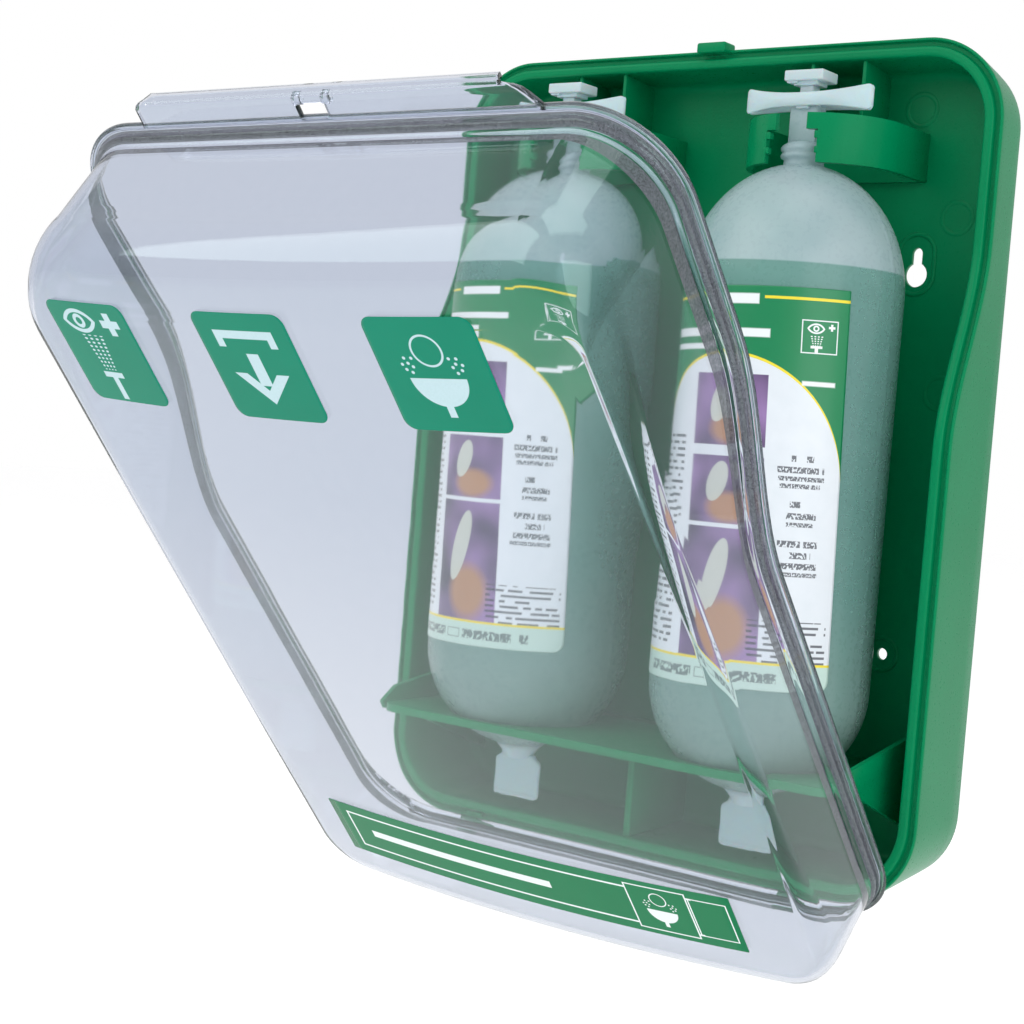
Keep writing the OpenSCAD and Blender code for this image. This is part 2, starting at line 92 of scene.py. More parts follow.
def makeStudio():
    scene = bpy.context.scene
    scene.view_settings.view_transform = "Standard"
    world = bpy.data.worlds.new("paleStudio")
    world.use_nodes = True
    sky = Socket(world.node_tree)
    straight, bent = [sky.add("ShaderNodeLightPath", {}, {}, k) for k in (0, 6)]
    glow = straight.high(bent) * (studio["seen"] - studio["fill"]) + studio["fill"]
    # what shows through the lid is a lilac backdrop, paler towards the ground
    rise = sky.axes(sky.add("ShaderNodeTexCoord"))[2]
    backdrop = ((rise + 0.27) * 4.5).clamp().tint(studio["backdropLow"], studio["backdrop"])
    colour = (bent * (1 - straight)).tint((1, 1, 1), backdrop)
    for key, value in (("Strength", glow), ("Color", colour)):
        world.node_tree.links.new(value.out, world.node_tree.nodes["Background"].inputs[key])
    scene.world = world
    for name, place, size, power, colour in studio["lamps"]:
        lamp = bpy.data.lights.new(name, "AREA")
        lamp.size, lamp.energy, lamp.color = size, power, colour
        holder = bpy.data.objects.new(name, lamp)
        aim = Vector((0, -0.05, 0)) - Vector(place)
        holder.matrix_world = Matrix.Translation(place) @ aim.to_track_quat("-Z", "Y").to_matrix().to_4x4()
        scene.collection.objects.link(holder)

    ground = bpy.data.meshes.new("paleFloor")
    reach, low = 6, cadBox[0].z - studio["floorDrop"]
    ground.from_pydata([(-reach, -reach, low), (reach, -reach, low),
                        (reach, reach, low), (-reach, reach, low)],
                       [], [(0, 1, 2, 3)])
    floor = bpy.data.objects.new("paleFloor", ground)
    scene.collection.objects.link(floor)
    sheen = newMaterial("paleFloor")
    s = Socket(sheen.node_tree)
    grain = s.add("ShaderNodeTexNoise", {}, {"Vector": s.objectCoords(), "Scale": 3.0, "Detail": 3.0})
    lit = s.shader(base=grain.ramp([(0.3, (0.95, 0.95, 0.955)), (0.7, (0.97, 0.97, 0.97))]), Roughness=0.55,
                   Emission_Color=(1, 1, 1, 1), Emission_Strength=0.3)
    s.output(s.add("ShaderNodeMixShader", {}, {0: s.add("ShaderNodeLightPath", {}, {}, 6), 1: lit,
                                               2: s.add("ShaderNodeBsdfTransparent")}))
    ground.materials.append(sheen)


# shader helper
class Socket:
    # one socket of a node tree; arithmetic on it adds Math nodes
    def __init__(self, tree, out=None):
        self.tree, self.out = tree, out

    def add(self, kind, settings=(), links=(), output=0):
        node = self.tree.nodes.new(kind)
        for key, value in dict(settings).items():
            if key == "stops":
                elements = node.color_ramp.elements
                while len(elements) < len(value):
                    elements.new(1)
                for stop, (at, colour) in zip(elements, value):
                    stop.position, stop.color = at, (*colour, 1)
            else:
                setattr(node, key, value)
        for key, value in dict(links).items():
            if isinstance(value, Socket):
                self.tree.links.new(value.out, node.inputs[key])
            else:
                node.inputs[key].default_value = value
        return Socket(self.tree, node.outputs[output] if node.outputs else None)

    def math(self, operation, *values):
        return self.add("ShaderNodeMath", {"operation": operation}, dict(enumerate(values)))

    def __add__(self, other):
        return self.math("ADD", self, other)

    def __radd__(self, other):
        return self.math("ADD", other, self)

    def __sub__(self, other):
        return self.math("SUBTRACT", self, other)

    def __rsub__(self, other):
        return self.math("SUBTRACT", other, self)

    def __mul__(self, other):
        return self.math("MULTIPLY", self, other)

    def __rmul__(self, other):
        return self.math("MULTIPLY", other, self)

    def __truediv__(self, other):
        return self.math("DIVIDE", self, other)

    def __neg__(self):
        return self.math("MULTIPLY", self, -1)

    def __abs__(self):
        return self.math("ABSOLUTE", self)

    def __lt__(self, other):
        return self.math("LESS_THAN", self, other)

    def __gt__(self, other):
        return self.math("GREATER_THAN", self, other)

    def fract(self):
        return self.math("FRACT", self)

    def floor(self):
        return self.math("FLOOR", self)

    def root(self):
        return self.math("SQRT", self)

    def squared(self):
        return self * self

    def clamp(self):
        return self.add("ShaderNodeClamp", {}, {0: self})

    def high(self, other):
        return self.math("MAXIMUM", self, other)

    def low(self, other):
        return self.math("MINIMUM", self, other)

    def ramp(self, stops):
        return self.add("ShaderNodeValToRGB", {"stops": stops}, {0: self})

    def tint(self, off, on):
        # this value as a mask between two colours
        return self.add("ShaderNodeMix", {"data_type": "RGBA"}, {0: self, 6: off if isinstance(off, Socket)
                        else (*off, 1), 7: on if isinstance(on, Socket) else (*on, 1)}, 2)

    def objectCoords(self):
        return self.add("ShaderNodeTexCoord", {}, {}, 3)

    def axes(self, vector):
        return [self.add("ShaderNodeSeparateXYZ", {}, {0: vector}, k) for k in range(3)]

    def uvAxes(self):
        return self.axes(self.add("ShaderNodeUVMap"))[:2]

    def noise(self, vector, scale, detail=2.0):
        return self.add("ShaderNodeTexNoise", {}, {"Vector": vector, "Scale": scale, "Detail": detail})

    def bump(self, height, strength, distance):
        return self.add("ShaderNodeBump", {}, {"Strength": strength, "Distance": distance, "Height": height})

    def shader(self, base=None, normal=None, rough=None, alpha=None, **plain):
        links = {key.replace("_", " "): value for key, value in plain.items()}
        for key, value in (("Base Color", base), ("Normal", normal), ("Roughness", rough), ("Alpha", alpha)):
            if value is not None:
                links[key] = value if isinstance(value, Socket) or key != "Base Color" else (*value, 1)
        return self.add("ShaderNodeBsdfPrincipled", {}, links)

    def output(self, surface):
        self.add("ShaderNodeOutputMaterial", {}, {"Surface": surface})

    def finish(self, **how):
        self.output(self.shader(**how))


def newMaterial(name):
    material = bpy.data.materials.new(name)
    material.use_nodes = True
    material.node_tree.nodes.clear()
    return material


def starting(name):
    material = newMaterial(name)
    return material, Socket(material.node_tree)


# flat marks: each returns a mask that is 1 inside a shape, softened over a tenth of a millimetre
def inside(distance, soft=0.12):
    return (0.5 - distance / soft).clamp()


def bar(u, v, cu, cv, halfU, halfV, soft=0.12):
    return inside((abs(u - cu) - halfU).high(abs(v - cv) - halfV), soft)


def disc(u, v, cu, cv, radius, soft=0.12):
    du, dv = u - cu, v - cv
    return inside((du * du + dv * dv).root() - radius, soft)


def lensMark(u, v, cu, cv, halfU, halfV, soft=0.12):
    # overlap of two discs whose edges cross at the lens's ends
    reach = (halfU * halfU - halfV * halfV) / (2 * halfV)
    radius = reach + halfV
    return disc(u, v, cu, cv + reach, radius, soft).low(disc(u, v, cu, cv - reach, radius, soft))


def eyeMark(u, v, cu, cv, size):
    rim = lensMark(u, v, cu, cv, size, size * 0.58) - lensMark(u, v, cu, cv, size * 0.78, size * 0.4)
    return rim.high(disc(u, v, cu, cv, size * 0.34) - disc(u, v, cu, cv, size * 0.17)).clamp()


def plusMark(u, v, cu, cv, size):
    return bar(u, v, cu, cv, size, size * 0.34).high(bar(u, v, cu, cv, size * 0.34, size))


def frameMark(u, v, cu, cv, halfU, halfV, line):
    return (bar(u, v, cu, cv, halfU, halfV) - bar(u, v, cu, cv, halfU - line, halfV - line)).clamp()


def sprayMark(u, v, cu, low, high, narrow, wide, pitch, size):
    # a fan of drops on a grid that spreads from narrow at the bottom to wide at the top
    t = (v - low) / (high - low)
    spread = narrow + (wide - narrow) * t
    across = (u - cu) / spread * narrow
    cellU = abs((across / pitch).fract() - 0.5) * pitch
    cellV = abs((v / pitch).fract() - 0.5) * pitch
    drop = inside((cellU * cellU + cellV * cellV).root() - size)
    return drop * (abs(across) < narrow) * bar(u, v, cu, (low + high) / 2, wide, (high - low) / 2)


def wordRows(s, u, v, cu, cv, halfU, halfV, pitch, thick, seed):
    # stripes broken into words by noise along each row
    row = ((v + 500) / pitch).floor()
    stripe = ((v + 500) / pitch).fract() < thick
    spot = s.add("ShaderNodeCombineXYZ", {}, {0: u * (0.55 / pitch), 1: row * 7.31 + seed, 2: 0.0})
    return stripe * (s.noise(spot, 1.0, 0.0) > 0.43) * bar(u, v, cu, cv, halfU, halfV)


# mesh helpers
def gridMesh(name, points, wrap=False, capStart=False, capEnd=False, uv=None, keep=None, flip=False):
    # points is rows x columns x 3 in millimetres; quads join each point to its neighbours
    rows, cols = points.shape[:2]
    index = np.arange(rows * cols).reshape(rows, cols)
    right = np.roll(index, -1, axis=1) if wrap else index[:, 1:]
    left = index if wrap else index[:, :-1]
    quads = np.stack([left[:-1], right[:-1], right[1:], left[1:]], axis=-1).reshape(-1, 4)
    if keep is not None:
        quads = quads[keep(points.reshape(-1, 3)[quads].mean(axis=1))]
    faces = quads.tolist()
    if capStart:
        faces.append(index[0].tolist()[::-1])
    if capEnd:
        faces.append(index[-1].tolist())
    if flip:
        faces = [face[::-1] for face in faces]
    mesh = bpy.data.meshes.new(name)
    mesh.from_pydata((points.reshape(-1, 3) * mm).tolist(), [], faces)
    if uv is not None:
        layer = mesh.uv_layers.new(name="flatMap")
        corner = np.empty(len(mesh.loops), np.int32)
        mesh.loops.foreach_get("vertex_index", corner)
        layer.data.foreach_set("uv", uv.reshape(-1, 2)[corner].astype(np.float32).ravel())
    mesh.polygons.foreach_set("use_smooth", [True] * len(mesh.polygons))
    mesh.validate()
    mesh.update()
    return mesh


def volumeOf(mesh):
    # signed: below zero when the faces point inwards
    mesh.calc_loop_triangles()
    corners = np.array([[mesh.vertices[i].co for i in tri.vertices] for tri in mesh.loop_triangles])
    return np.einsum("ij,ij->i", corners[:, 0], np.cross(corners[:, 1], corners[:, 2])).sum() / 6


def place(name, mesh, material, body, slot, replaced=()):
    piece = bpy.data.objects.new(name, mesh)
    bpy.context.scene.collection.objects.link(piece)
    mesh.materials.clear()
    mesh.materials.append(material)
    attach(piece, body)
    if replaced:
        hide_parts(*replaced)
    return piece


def joined(name, meshes):
    # several meshes as one, with their uv maps
    whole = bmesh.new()
    for mesh in meshes:
        whole.from_mesh(mesh)
    out = bpy.data.meshes.new(name)
    whole.to_mesh(out)
    whole.free()
    return out


def turned(name, profile, axisX, axisY, count=96, bulge=None):
    # a profile of (radius, height) carried round a vertical axis; bulge adds to the radius by angle
    angle = np.linspace(0, 2 * np.pi, count, endpoint=False)
    profile = np.asarray(profile, float)
    added = np.zeros(count) if bulge is None else bulge(angle)
    radius = profile[:, :1] + added[None, :] * (profile[:, :1] > 1)
    points = np.stack([axisX + radius * np.cos(angle), axisY + radius * np.sin(angle),
                       np.broadcast_to(profile[:, 1:], radius.shape)], axis=-1)
    return gridMesh(name, points, wrap=True, capStart=True, capEnd=True)


def roundedBlock(name, low, high, radius, steps=3):
    # rounded rectangle in plan carried up a quarter round, a wall and a quarter round
    low, high = np.asarray(low, float), np.asarray(high, float)
    arc = np.linspace(0, np.pi / 2, steps + 1)
    inset = np.concatenate([radius * (1 - np.sin(arc)), radius * (1 - np.cos(arc))])
    height = np.concatenate([low[2] + radius * (1 - np.cos(arc)), high[2] - radius * (1 - np.sin(arc))])
    centre, half = (low + high)[:2] / 2, (high - low)[:2] / 2
    corner = np.concatenate([arc + k * np.pi / 2 for k in range(4)])
    signX = np.repeat([1, -1, -1, 1], steps + 1)
    signY = np.repeat([1, 1, -1, -1], steps + 1)
    x = centre[0] + signX * (half[0] - radius) + np.cos(corner) * (radius - inset[:, None])
    y = centre[1] + signY * (half[1] - radius) + np.sin(corner) * (radius - inset[:, None])
    points = np.stack([x, y, np.broadcast_to(height[:, None], x.shape)], axis=-1)
    return gridMesh(name, points, wrap=True, capStart=True, capEnd=True)


def softened(node, name, width, slot, material, body):
    # the frame's solid with its sharp edges rounded: doubles merged, flat areas dissolved, then a bevel
    work = bmesh.new()
    work.from_mesh(frame["nodes"][node].data)
    bmesh.ops.remove_doubles(work, verts=work.verts, dist=1e-6)
    bmesh.ops.dissolve_limit(work, angle_limit=math.radians(1.0), verts=work.verts, edges=work.edges)
    mesh = bpy.data.meshes.new(name)
    work.to_mesh(mesh)
    work.free()
    mesh.polygons.foreach_set("use_smooth", [True] * len(mesh.polygons))
    piece = place(name, mesh, material, body, slot, (node,))
    bevel = piece.modifiers.new("roundedEdges", "BEVEL")
    bevel.width, bevel.segments, bevel.limit_method = width * mm, 3, "ANGLE"
    bevel.angle_limit, bevel.harden_normals = math.radians(32), True
    return piece

# station layout in millimetres, read from the frame
joints = {joint["name"]: joint for joint in frame["joints"]}
hinge = np.array(joints["lid_hinge"]["pos_m"]) / mm
openAngle = -joints["lid_hinge"]["range_deg"][0]
trayBox = [np.array(corner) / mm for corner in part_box("tray")]
halfWidth = trayBox[1][0]
topEdge = -hinge[2] - 3.5
bottleAt = {side: np.array(joints[side + "_bottle_tilt"]["pos_m"]) / mm for side in ("left", "right")}
shoulderZ = bottleAt["left"][2] + 146
neckZ = shoulderZ + 47


def loopUnits(arc=20, across=28, upright=48):
    # unit data of a rounded rectangle seen from the front, anticlockwise from the lower right:
    # which corner centre (or where between two) each point belongs to, and its outward direction
    centreX, centreZ, dirX, dirZ = [], [], [], []
    corners = [(1, 1), (-1, 1), (-1, -1), (1, -1)]
    before = [(1, -1), (1, 1), (-1, 1), (-1, -1)]
    for k in range(4):
        count = upright if k % 2 == 0 else across
        t = np.linspace(0, 1, count, endpoint=False)[1:]
        normal = k * np.pi / 2
        centreX.append(before[k][0] + (corners[k][0] - before[k][0]) * t)
        centreZ.append(before[k][1] + (corners[k][1] - before[k][1]) * t)
        dirX.append(np.full(t.size, np.cos(normal)))
        dirZ.append(np.full(t.size, np.sin(normal)))
        angle = normal + np.linspace(0, np.pi / 2, arc)
        centreX.append(np.full(arc, corners[k][0]))
        centreZ.append(np.full(arc, corners[k][1]))
        dirX.append(np.cos(angle))
        dirZ.append(np.sin(angle))
    return [np.concatenate(part) for part in (centreX, centreZ, dirX, dirZ)]


unit = loopUnits()


def outline(half, low, high, radius):
    # rounded rectangle between heights low and high; each argument is a number or a column of them
    half, low, high, radius = [np.asarray(value, float).reshape(-1, 1) for value in (half, low, high, radius)]
    x = unit[0] * (half - radius) + unit[2] * radius
    z = (low + high) / 2 + unit[1] * ((high - low) / 2 - radius) + unit[3] * radius
    return x, z


rim = dict(top=26.0, low=45.0, stepLow=8.0, stepHigh=84.0, radius=32.0, inset=3.4)


def rimDepth(z):
    # the rim stands 45 out below and 26 above, with a smooth S between
    t = np.clip((z - rim["stepLow"]) / (rim["stepHigh"] - rim["stepLow"]), 0, 1)
    return rim["low"] + (rim["top"] - rim["low"]) * t * t * (3 - 2 * t)


# tray
tray = dict(panel=2.5, pocket=8.6, fillet=3.5, ribOut=24.0, holeSpan=166.0, lowHole=-71.0,
            keySeat=82.5, keyDrop=8.0, rings=[(80, 137, 6.0), (98, 96, 6.0), (0, 60, 6.0), (97, 30, 6.0)])
# rows across the rim: inset from the outer edge, and height over the rim surface
rimRows = [(0.02, -1.9), (0.0, -1.3), (0.1, -0.9), (0.35, -0.68), (0.75, -0.66), (1.05, -0.85), (1.15, -1.3),
           (1.25, -2.1), (1.6, -2.4), (2.8, -2.4), (3.1, -2.1), (3.2, -1.0), (3.35, -0.5), (3.75, -0.15),
           (4.4, 0.0), (5.6, 0.0), (6.35, -0.12), (6.8, -0.45), (7.0, -1.0)]


def trayShell():
    # the whole tray as one closed sheet: back face, outer wall, rim, inner wall and panel front
    r = rim["radius"]
    rows = []

    def row(inset, depthOf):
        x, z = outline(halfWidth - inset, -topEdge + inset, topEdge - inset, max(r - inset, 3))
        rows.append(np.stack([x[0], -depthOf(z[0]), z[0]], axis=-1))

    def shrink(scale, depth):
        x, z = outline(halfWidth - tray["pocket"], -topEdge + tray["pocket"], topEdge - tray["pocket"],
                       r - tray["pocket"])
        rows.append(np.stack([x[0] * scale, np.full(x.shape[1], -depth), z[0] * scale], axis=-1))

    for scale in (0.02, 0.35, 0.7, 0.97):
        shrink(scale, 0)
    row(rim["inset"] + 0.6, lambda z: 0 * z)
    row(rim["inset"] + 0.15, lambda z: 0 * z + 0.15)
    row(rim["inset"], lambda z: 0 * z + 0.6)
    for share in (0.2, 0.4, 0.6, 0.8, 0.96):
        row(rim["inset"] * (1 - share), lambda z: share * (rimDepth(z) - 2))
    for inset, over in rimRows:
        row(inset, lambda z: rimDepth(z) + over)
    for share in (0.8, 0.6, 0.4, 0.25):
        row(7.0 + (tray["pocket"] - 7.0) * (1 - share), lambda z: 6 + share * (rimDepth(z) - 7))
    for angle in np.linspace(0, np.pi / 2, 5):
        drop = tray["fillet"] * (1 - np.sin(angle))
        row(tray["pocket"] + tray["fillet"] * (1 - np.cos(angle)), lambda z: tray["panel"] + drop + 0 * z)
    for scale in np.append(np.linspace(0.97, 0.1, 16), [0.02]):
        shrink(scale, tray["panel"])
    return gridMesh("trayShell", np.array(rows), wrap=True, capStart=True, capEnd=True)


def rod(name, x, z, radius, near, far, count=40):
    # a plain round bar that runs front to back
    angle = np.linspace(0, 2 * np.pi, count, endpoint=False)
    rows = [np.stack([x + radius * np.cos(angle), np.full(count, y), z + radius * np.sin(angle)], axis=-1)
            for y in (near, far)]
    return gridMesh(name, np.array(rows), wrap=True, capStart=True, capEnd=True, flip=True)


def frontRing(name, x, z, radius, thick, tall, depth, stretch=0.0, count=48):
    # a low round bead on a plate's front: half an ellipse carried round a circle or an upright oval
    arc = np.linspace(-0.2, np.pi + 0.2, 9)
    angle = np.linspace(0, 2 * np.pi, count, endpoint=False)
    r = radius + thick * np.cos(arc)[:, None]
    points = np.stack([x + r * np.cos(angle),
                       np.broadcast_to(-depth - tall * np.sin(arc)[:, None], r.shape[:1]
                      + (count,)), z + r * np.sin(angle) + stretch * np.sign(np.sin(angle))], axis=-1)
    return gridMesh(name, points, wrap=True)


def cutHoles(piece, cutters):
    for cutter in cutters:
        if volumeOf(cutter) < 0:
            cutter.flip_normals()
        tool = bpy.data.objects.new("cutter", cutter)
        bpy.context.scene.collection.objects.link(tool)
        cut = piece.modifiers.new("hole", "BOOLEAN")
        cut.operation, cut.object, cut.solver = "DIFFERENCE", tool, "EXACT"
        bpy.context.view_layer.update()
        evaluated = piece.evaluated_get(bpy.context.evaluated_depsgraph_get())
        mesh = bpy.data.meshes.new_from_object(evaluated)
        piece.modifiers.clear()
        piece.data = mesh
        bpy.data.objects.remove(tool)


def flattened(mesh):
    # faces that look straight front or back are shaded flat, so cuts leave no streaks on them
    normal = np.empty(len(mesh.polygons) * 3)
    mesh.polygons.foreach_get("normal", normal)
    facing = np.abs(normal.reshape(-1, 3)[:, 1])
    mesh.polygons.foreach_set("use_smooth", (facing < 0.9999).tolist())
    mesh.update()


def gusset(x, thick, up, out):
    # a low triangular web that stands on the shelf against the panel
    top = bottleAt["left"][2] - 28.5
    corners = [(-tray["panel"] + 0.5, top - 1), (-tray["panel"] - out, top - 1),
                (-tray["panel"] - out, top + 0.6),
               (-tray["panel"] - 1.2, top + up), (-tray["panel"] + 0.5, top + up)]
    rows = [np.array([(x + shift, cy + dy, cz) for cy, cz in corners]) for shift, dy in
            ((-thick / 2, 0), (thick / 2, 0))]
    return gridMesh("gusset", np.array(rows), wrap=True, capStart=True, capEnd=True)


def makeTray(green):
    piece = bpy.data.objects.new("trayShell", trayShell())
    bpy.context.scene.collection.objects.link(piece)
    cutters = []
    for side in (-1, 1):
        x = side * tray["holeSpan"] / 2
        cutters.append(rod("cut", x, tray["lowHole"], 2.3, 5, -9))
        cutters.append(rod("cut", x, tray["keySeat"] - tray["keyDrop"], 4.7, 5, -9))
        seat = tray["keySeat"]
        slot = roundedBlock("cut", (x - 2.3, -9, seat - 8), (x + 2.3, 5, seat), 0.2)
        cutters.append(slot)
        cutters.append(rod("cut", x, seat, 2.3, 5, -9))
    cutHoles(piece, cutters)
    mesh = piece.data
    bpy.data.objects.remove(piece)
    flattened(mesh)
    place("trayShell", mesh, green, "tray_unit", "green_moulding", ("tray",))

    # what is moulded on the tray: ribs, latch nub, hinge eyes and the rings the ejector pins leave
    clipTop = neckZ + 18
    meshes = []
    for side in ("left", "right"):
        for off in (-11, 11):
            x = bottleAt[side][0] + off
            meshes.append(roundedBlock("rib", (x - 0.8, -tray["ribOut"], clipTop + 0.4),
                                       (x + 0.8, -tray["panel"] + 0.5, topEdge - 6.5), 0.5))
    meshes.append(gusset(0.0, 1.8, 12.0, 16.0))
    meshes.append(roundedBlock("rib", (-1.5, -43, -topEdge + 5), (1.5, -2, -topEdge + 43.5), 0.5))
    meshes.append(roundedBlock("nub", (-6.5, -rim["top"] - 3.4, topEdge - 1.5),
                               (6.5, -rim["top"] + 5, topEdge + 2.7), 0.9))
    for side in ("left", "right"):
        # steps on the inner edges of the neck clips
        for sign in (-1, 1):
            for low, high, reach in ((-9.2, -6.4, 1.5), (-14.6, -12.2, 1.1)):
                x = sorted((bottleAt[side][0] + sign * (10.6 - reach), bottleAt[side][0] + sign * 11.4))
                meshes.append(roundedBlock("tooth", (x[0], -55.0, clipTop + low),
                                           (x[1], -52.2, clipTop + high), 0.3))
    for sign in (-1, 1):
        x = sign * 75
        meshes.append(roundedBlock("eyeRoot", (x - 4, -44.6, hinge[2]), (x + 4, -33.4, -topEdge + 2.6), 0.5))
        meshes.append(roundedBlock("eyeRoot", (x - 4, -47, hinge[2]), (x + 4, -33.4, hinge[2] + 3), 0.5))
        meshes.append(hingeEye("eye", x - 4, x + 4, 3.1))
        for ringX, ringZ, radius in tray["rings"]:
            meshes.append(frontRing("ring", sign * ringX, ringZ, radius, 0.9, 0.16, tray["panel"]))
        meshes.append(frontRing("ring", sign * 83, tray["lowHole"], 6.4, 0.8, 0.6, tray["panel"]))
        meshes.append(frontRing("ring", sign * 83, tray["keySeat"] - 4, 7.4, 0.9, 0.6, tray["panel"], 4.0))
    place("trayDetails", joined("trayDetails", meshes), green, "tray_unit", "green_moulding")


def hingeEye(name, start, end, outer, bore=1.58, count=48):
    # a ring section carried along X, closed on itself
    angle = np.linspace(0, 2 * np.pi, count, endpoint=False)
    soft = 0.4
    section = [(start + soft, bore), (start, bore + soft), (start, outer - soft), (start + soft, outer),
               (end - soft, outer), (end, outer - soft), (end, bore + soft), (end - soft, bore),
               (start + soft, bore)]
    rows = [np.stack([np.full(count, x), hinge[1] + r * np.cos(angle), hinge[2] + r * np.sin(angle)], axis=-1)
            for x, r in section]
    return gridMesh(name, np.array(rows), wrap=True)


# lid
lid = dict(thick=2.0, flangeUp=2.6, baseInset=5.0, faceDepth=89.7, tilt=0.0135, crown=0.00039, topDraft=6.0,
           sideDraft=0.3, edgeSide=5.0, edgeTop=24.0, edgeLow=13.0)


def faceDepth(x, z):
    # the front leans out a little towards the bottom and is crowned from side to side
    return lid["faceDepth"] - lid["tilt"] * z - lid["crown"] * x * x


def swing(points):
    # from the closed lid to where it rests, open
    turn = math.radians(openAngle)
    y, z = points[..., 1] - hinge[1], points[..., 2] - hinge[2]
    out = points.copy()
    out[..., 1] = hinge[1] + y * math.cos(turn) - z * math.sin(turn)
    out[..., 2] = hinge[2] + y * math.sin(turn) + z * math.cos(turn)
    return out


def lidSurface():
    flange = outline(halfWidth, -topEdge, topEdge + lid["flangeUp"], rim["radius"])
    base = outline(halfWidth - lid["baseInset"], -topEdge - 0.4, topEdge - 3.5, 27)
    wallTop = outline(halfWidth - lid["baseInset"] - lid["sideDraft"], -topEdge + 0.4,
                      topEdge - 3.5 - lid["topDraft"], 25)
    rows = []

    def between(first, second, t):
        return first[0][0] + (second[0][0] - first[0][0]) * t, first[1][0] + (second[1][0] - first[1][0]) * t

    # flange: rolled outer edge, flat band, step, second band, fillet; over is the height above the rim
    for t, over in [(0.02, 0.5), (0.0, 1.2), (0.0, 2.0), (0.03, 2.6), (0.1, 3.0), (0.18, 2.9),
                        (0.24, 2.5), (0.34, 2.4),
                    (0.44, 2.4), (0.5, 2.7), (0.54, 3.6), (0.57, 4.5), (0.62, 4.9), (0.72, 5.0), (0.84, 5.0),
                    (0.93, 5.2), (0.985, 5.9)]:
        x, z = between(flange, base, t)
        rows.append(np.stack([x, -(rimDepth(z) + over), z], axis=-1))
    # wall from the rim's S to where the edge starts to round
    upper = np.clip((wallTop[1][0] - 40) / 100, 0, 1)
    lower = np.clip((-wallTop[1][0] - 60) / 80, 0, 1)
    edge = lid["edgeSide"] + (lid["edgeTop"] - lid["edgeSide"]) * upper ** 2 \
        + (lid["edgeLow"] - lid["edgeSide"]) * lower ** 2
    face = outline(halfWidth - lid["baseInset"] - lid["sideDraft"] - lid["edgeSide"],
                   -topEdge + 0.4 + lid["edgeLow"],
                   topEdge - 3.5 - lid["topDraft"] - lid["edgeTop"], 12)
    startDepth = faceDepth(wallTop[0][0], wallTop[1][0]) - edge
    for t in np.linspace(0, 1, 12):
        x, z = between(base, wallTop, t)
        low = rimDepth(z) + 6.6
        rows.append(np.stack([x, -(low + (startDepth - low) * t), z], axis=-1))
    for angle in np.linspace(0, np.pi / 2, 13)[1:]:
        x, z = between(wallTop, face, 1 - np.cos(angle))
        rows.append(np.stack([x, -(faceDepth(x, z) - edge * (1 - np.sin(angle))), z], axis=-1))
    # the face: the loop shrinks towards the middle
    for scale in np.append(np.linspace(1, 0.08, 16)[1:], [0.03]):
        x, z = face[0][0] * scale, face[1][0] * scale
        rows.append(np.stack([x, -faceDepth(x, z), z], axis=-1))
    return np.array(rows)


# frosted bands inside the lid's edge: outer and inner band, width as a share of
# flange or wall, depth under the skin
frost = dict(sink=0.8, outer=(0.40, 0.97), inner=(0.01, 0.12))


def frostedBands():
    flange = outline(halfWidth, -topEdge, topEdge + lid["flangeUp"], rim["radius"])
    base = outline(halfWidth - lid["baseInset"], -topEdge - 0.4, topEdge - 3.5, 27)
    wallTop = outline(halfWidth - lid["baseInset"] - lid["sideDraft"], -topEdge + 0.4,
                      topEdge - 3.5 - lid["topDraft"], 25)
    bands = []
    rows = []
    for t in np.linspace(*frost["outer"], 6):
        x, z = [flange[k][0] + (base[k][0] - flange[k][0]) * t for k in range(2)]
        over = np.interp(t, [0.4, 0.5, 0.57, 0.66, 1.0], [2.4, 2.7, 4.2, 4.9, 5.2]) - frost["sink"]
        rows.append(np.stack([x, -(rimDepth(z) + over), z], axis=-1))
    bands.append(gridMesh("band", swing(np.array(rows)), wrap=True))
    rows = []
    for share in np.linspace(*frost["inner"], 5):
        t = share * (0.4 + 0.6 * np.abs(unit[2]))
        x, z = [base[k][0] + (wallTop[k][0] - base[k][0]) * t - frost["sink"] * unit[2 + k] for k in range(2)]
        low = rimDepth(z) + 6.6
        rows.append(np.stack([x, -(low + (lid["faceDepth"] - lid["edgeSide"] - low) * t), z], axis=-1))
    bands.append(gridMesh("band", swing(np.array(rows)), wrap=True))
    return joined("frostedBands", bands)


def lidPullSurface():
    # the pull flap: its top edge and left end roll back towards the wall, its right end slopes
    left, right, foot, head = -80.5, 83.5, topEdge + 1.2, 169.8
    across = np.concatenate([np.linspace(left, -9.5, 24), np.linspace(-9, 3, 7), np.linspace(3.5, right, 40)])
    rows = []
    for z, depth, pinch in [(foot, 28.6, 0), (161, 28.6, 0), (162, 28.6, 0), (163, 28.6, 0), (164, 28.6, 0),
                            (165, 28.6, 0), (166, 28.6, 0), (167.3, 28.6, 0), (168.6, 28.3, 0.8),
                            (169.3, 27.6, 1.8), (169.6, 26.6, 2.8), (169.7, 24.5, 3.4), (169.75, 22.5, 3.6)]:
        rise = np.clip((z - foot) / (head - foot), 0, 1)
        slope = 9.0 * rise ** 1.3 * np.clip((across - 30) / (right - 30), 0, 1)
        x = across * (1 - pinch * np.where(across < 0, 1, 1.8 * (np.abs(across) / right) ** 6) / 82) - slope
        rows.append(np.stack([x, np.full(x.size, -depth), np.full(x.size, z)], axis=-1))
    return np.array(rows)


def outsideWindow(centres):
    # the latch nub shows through a slot in the flap
    return ~((np.abs(centres[:, 0] + 3) < 6.0) & (centres[:, 2] > 161.2) & (centres[:, 2] < 165.8))


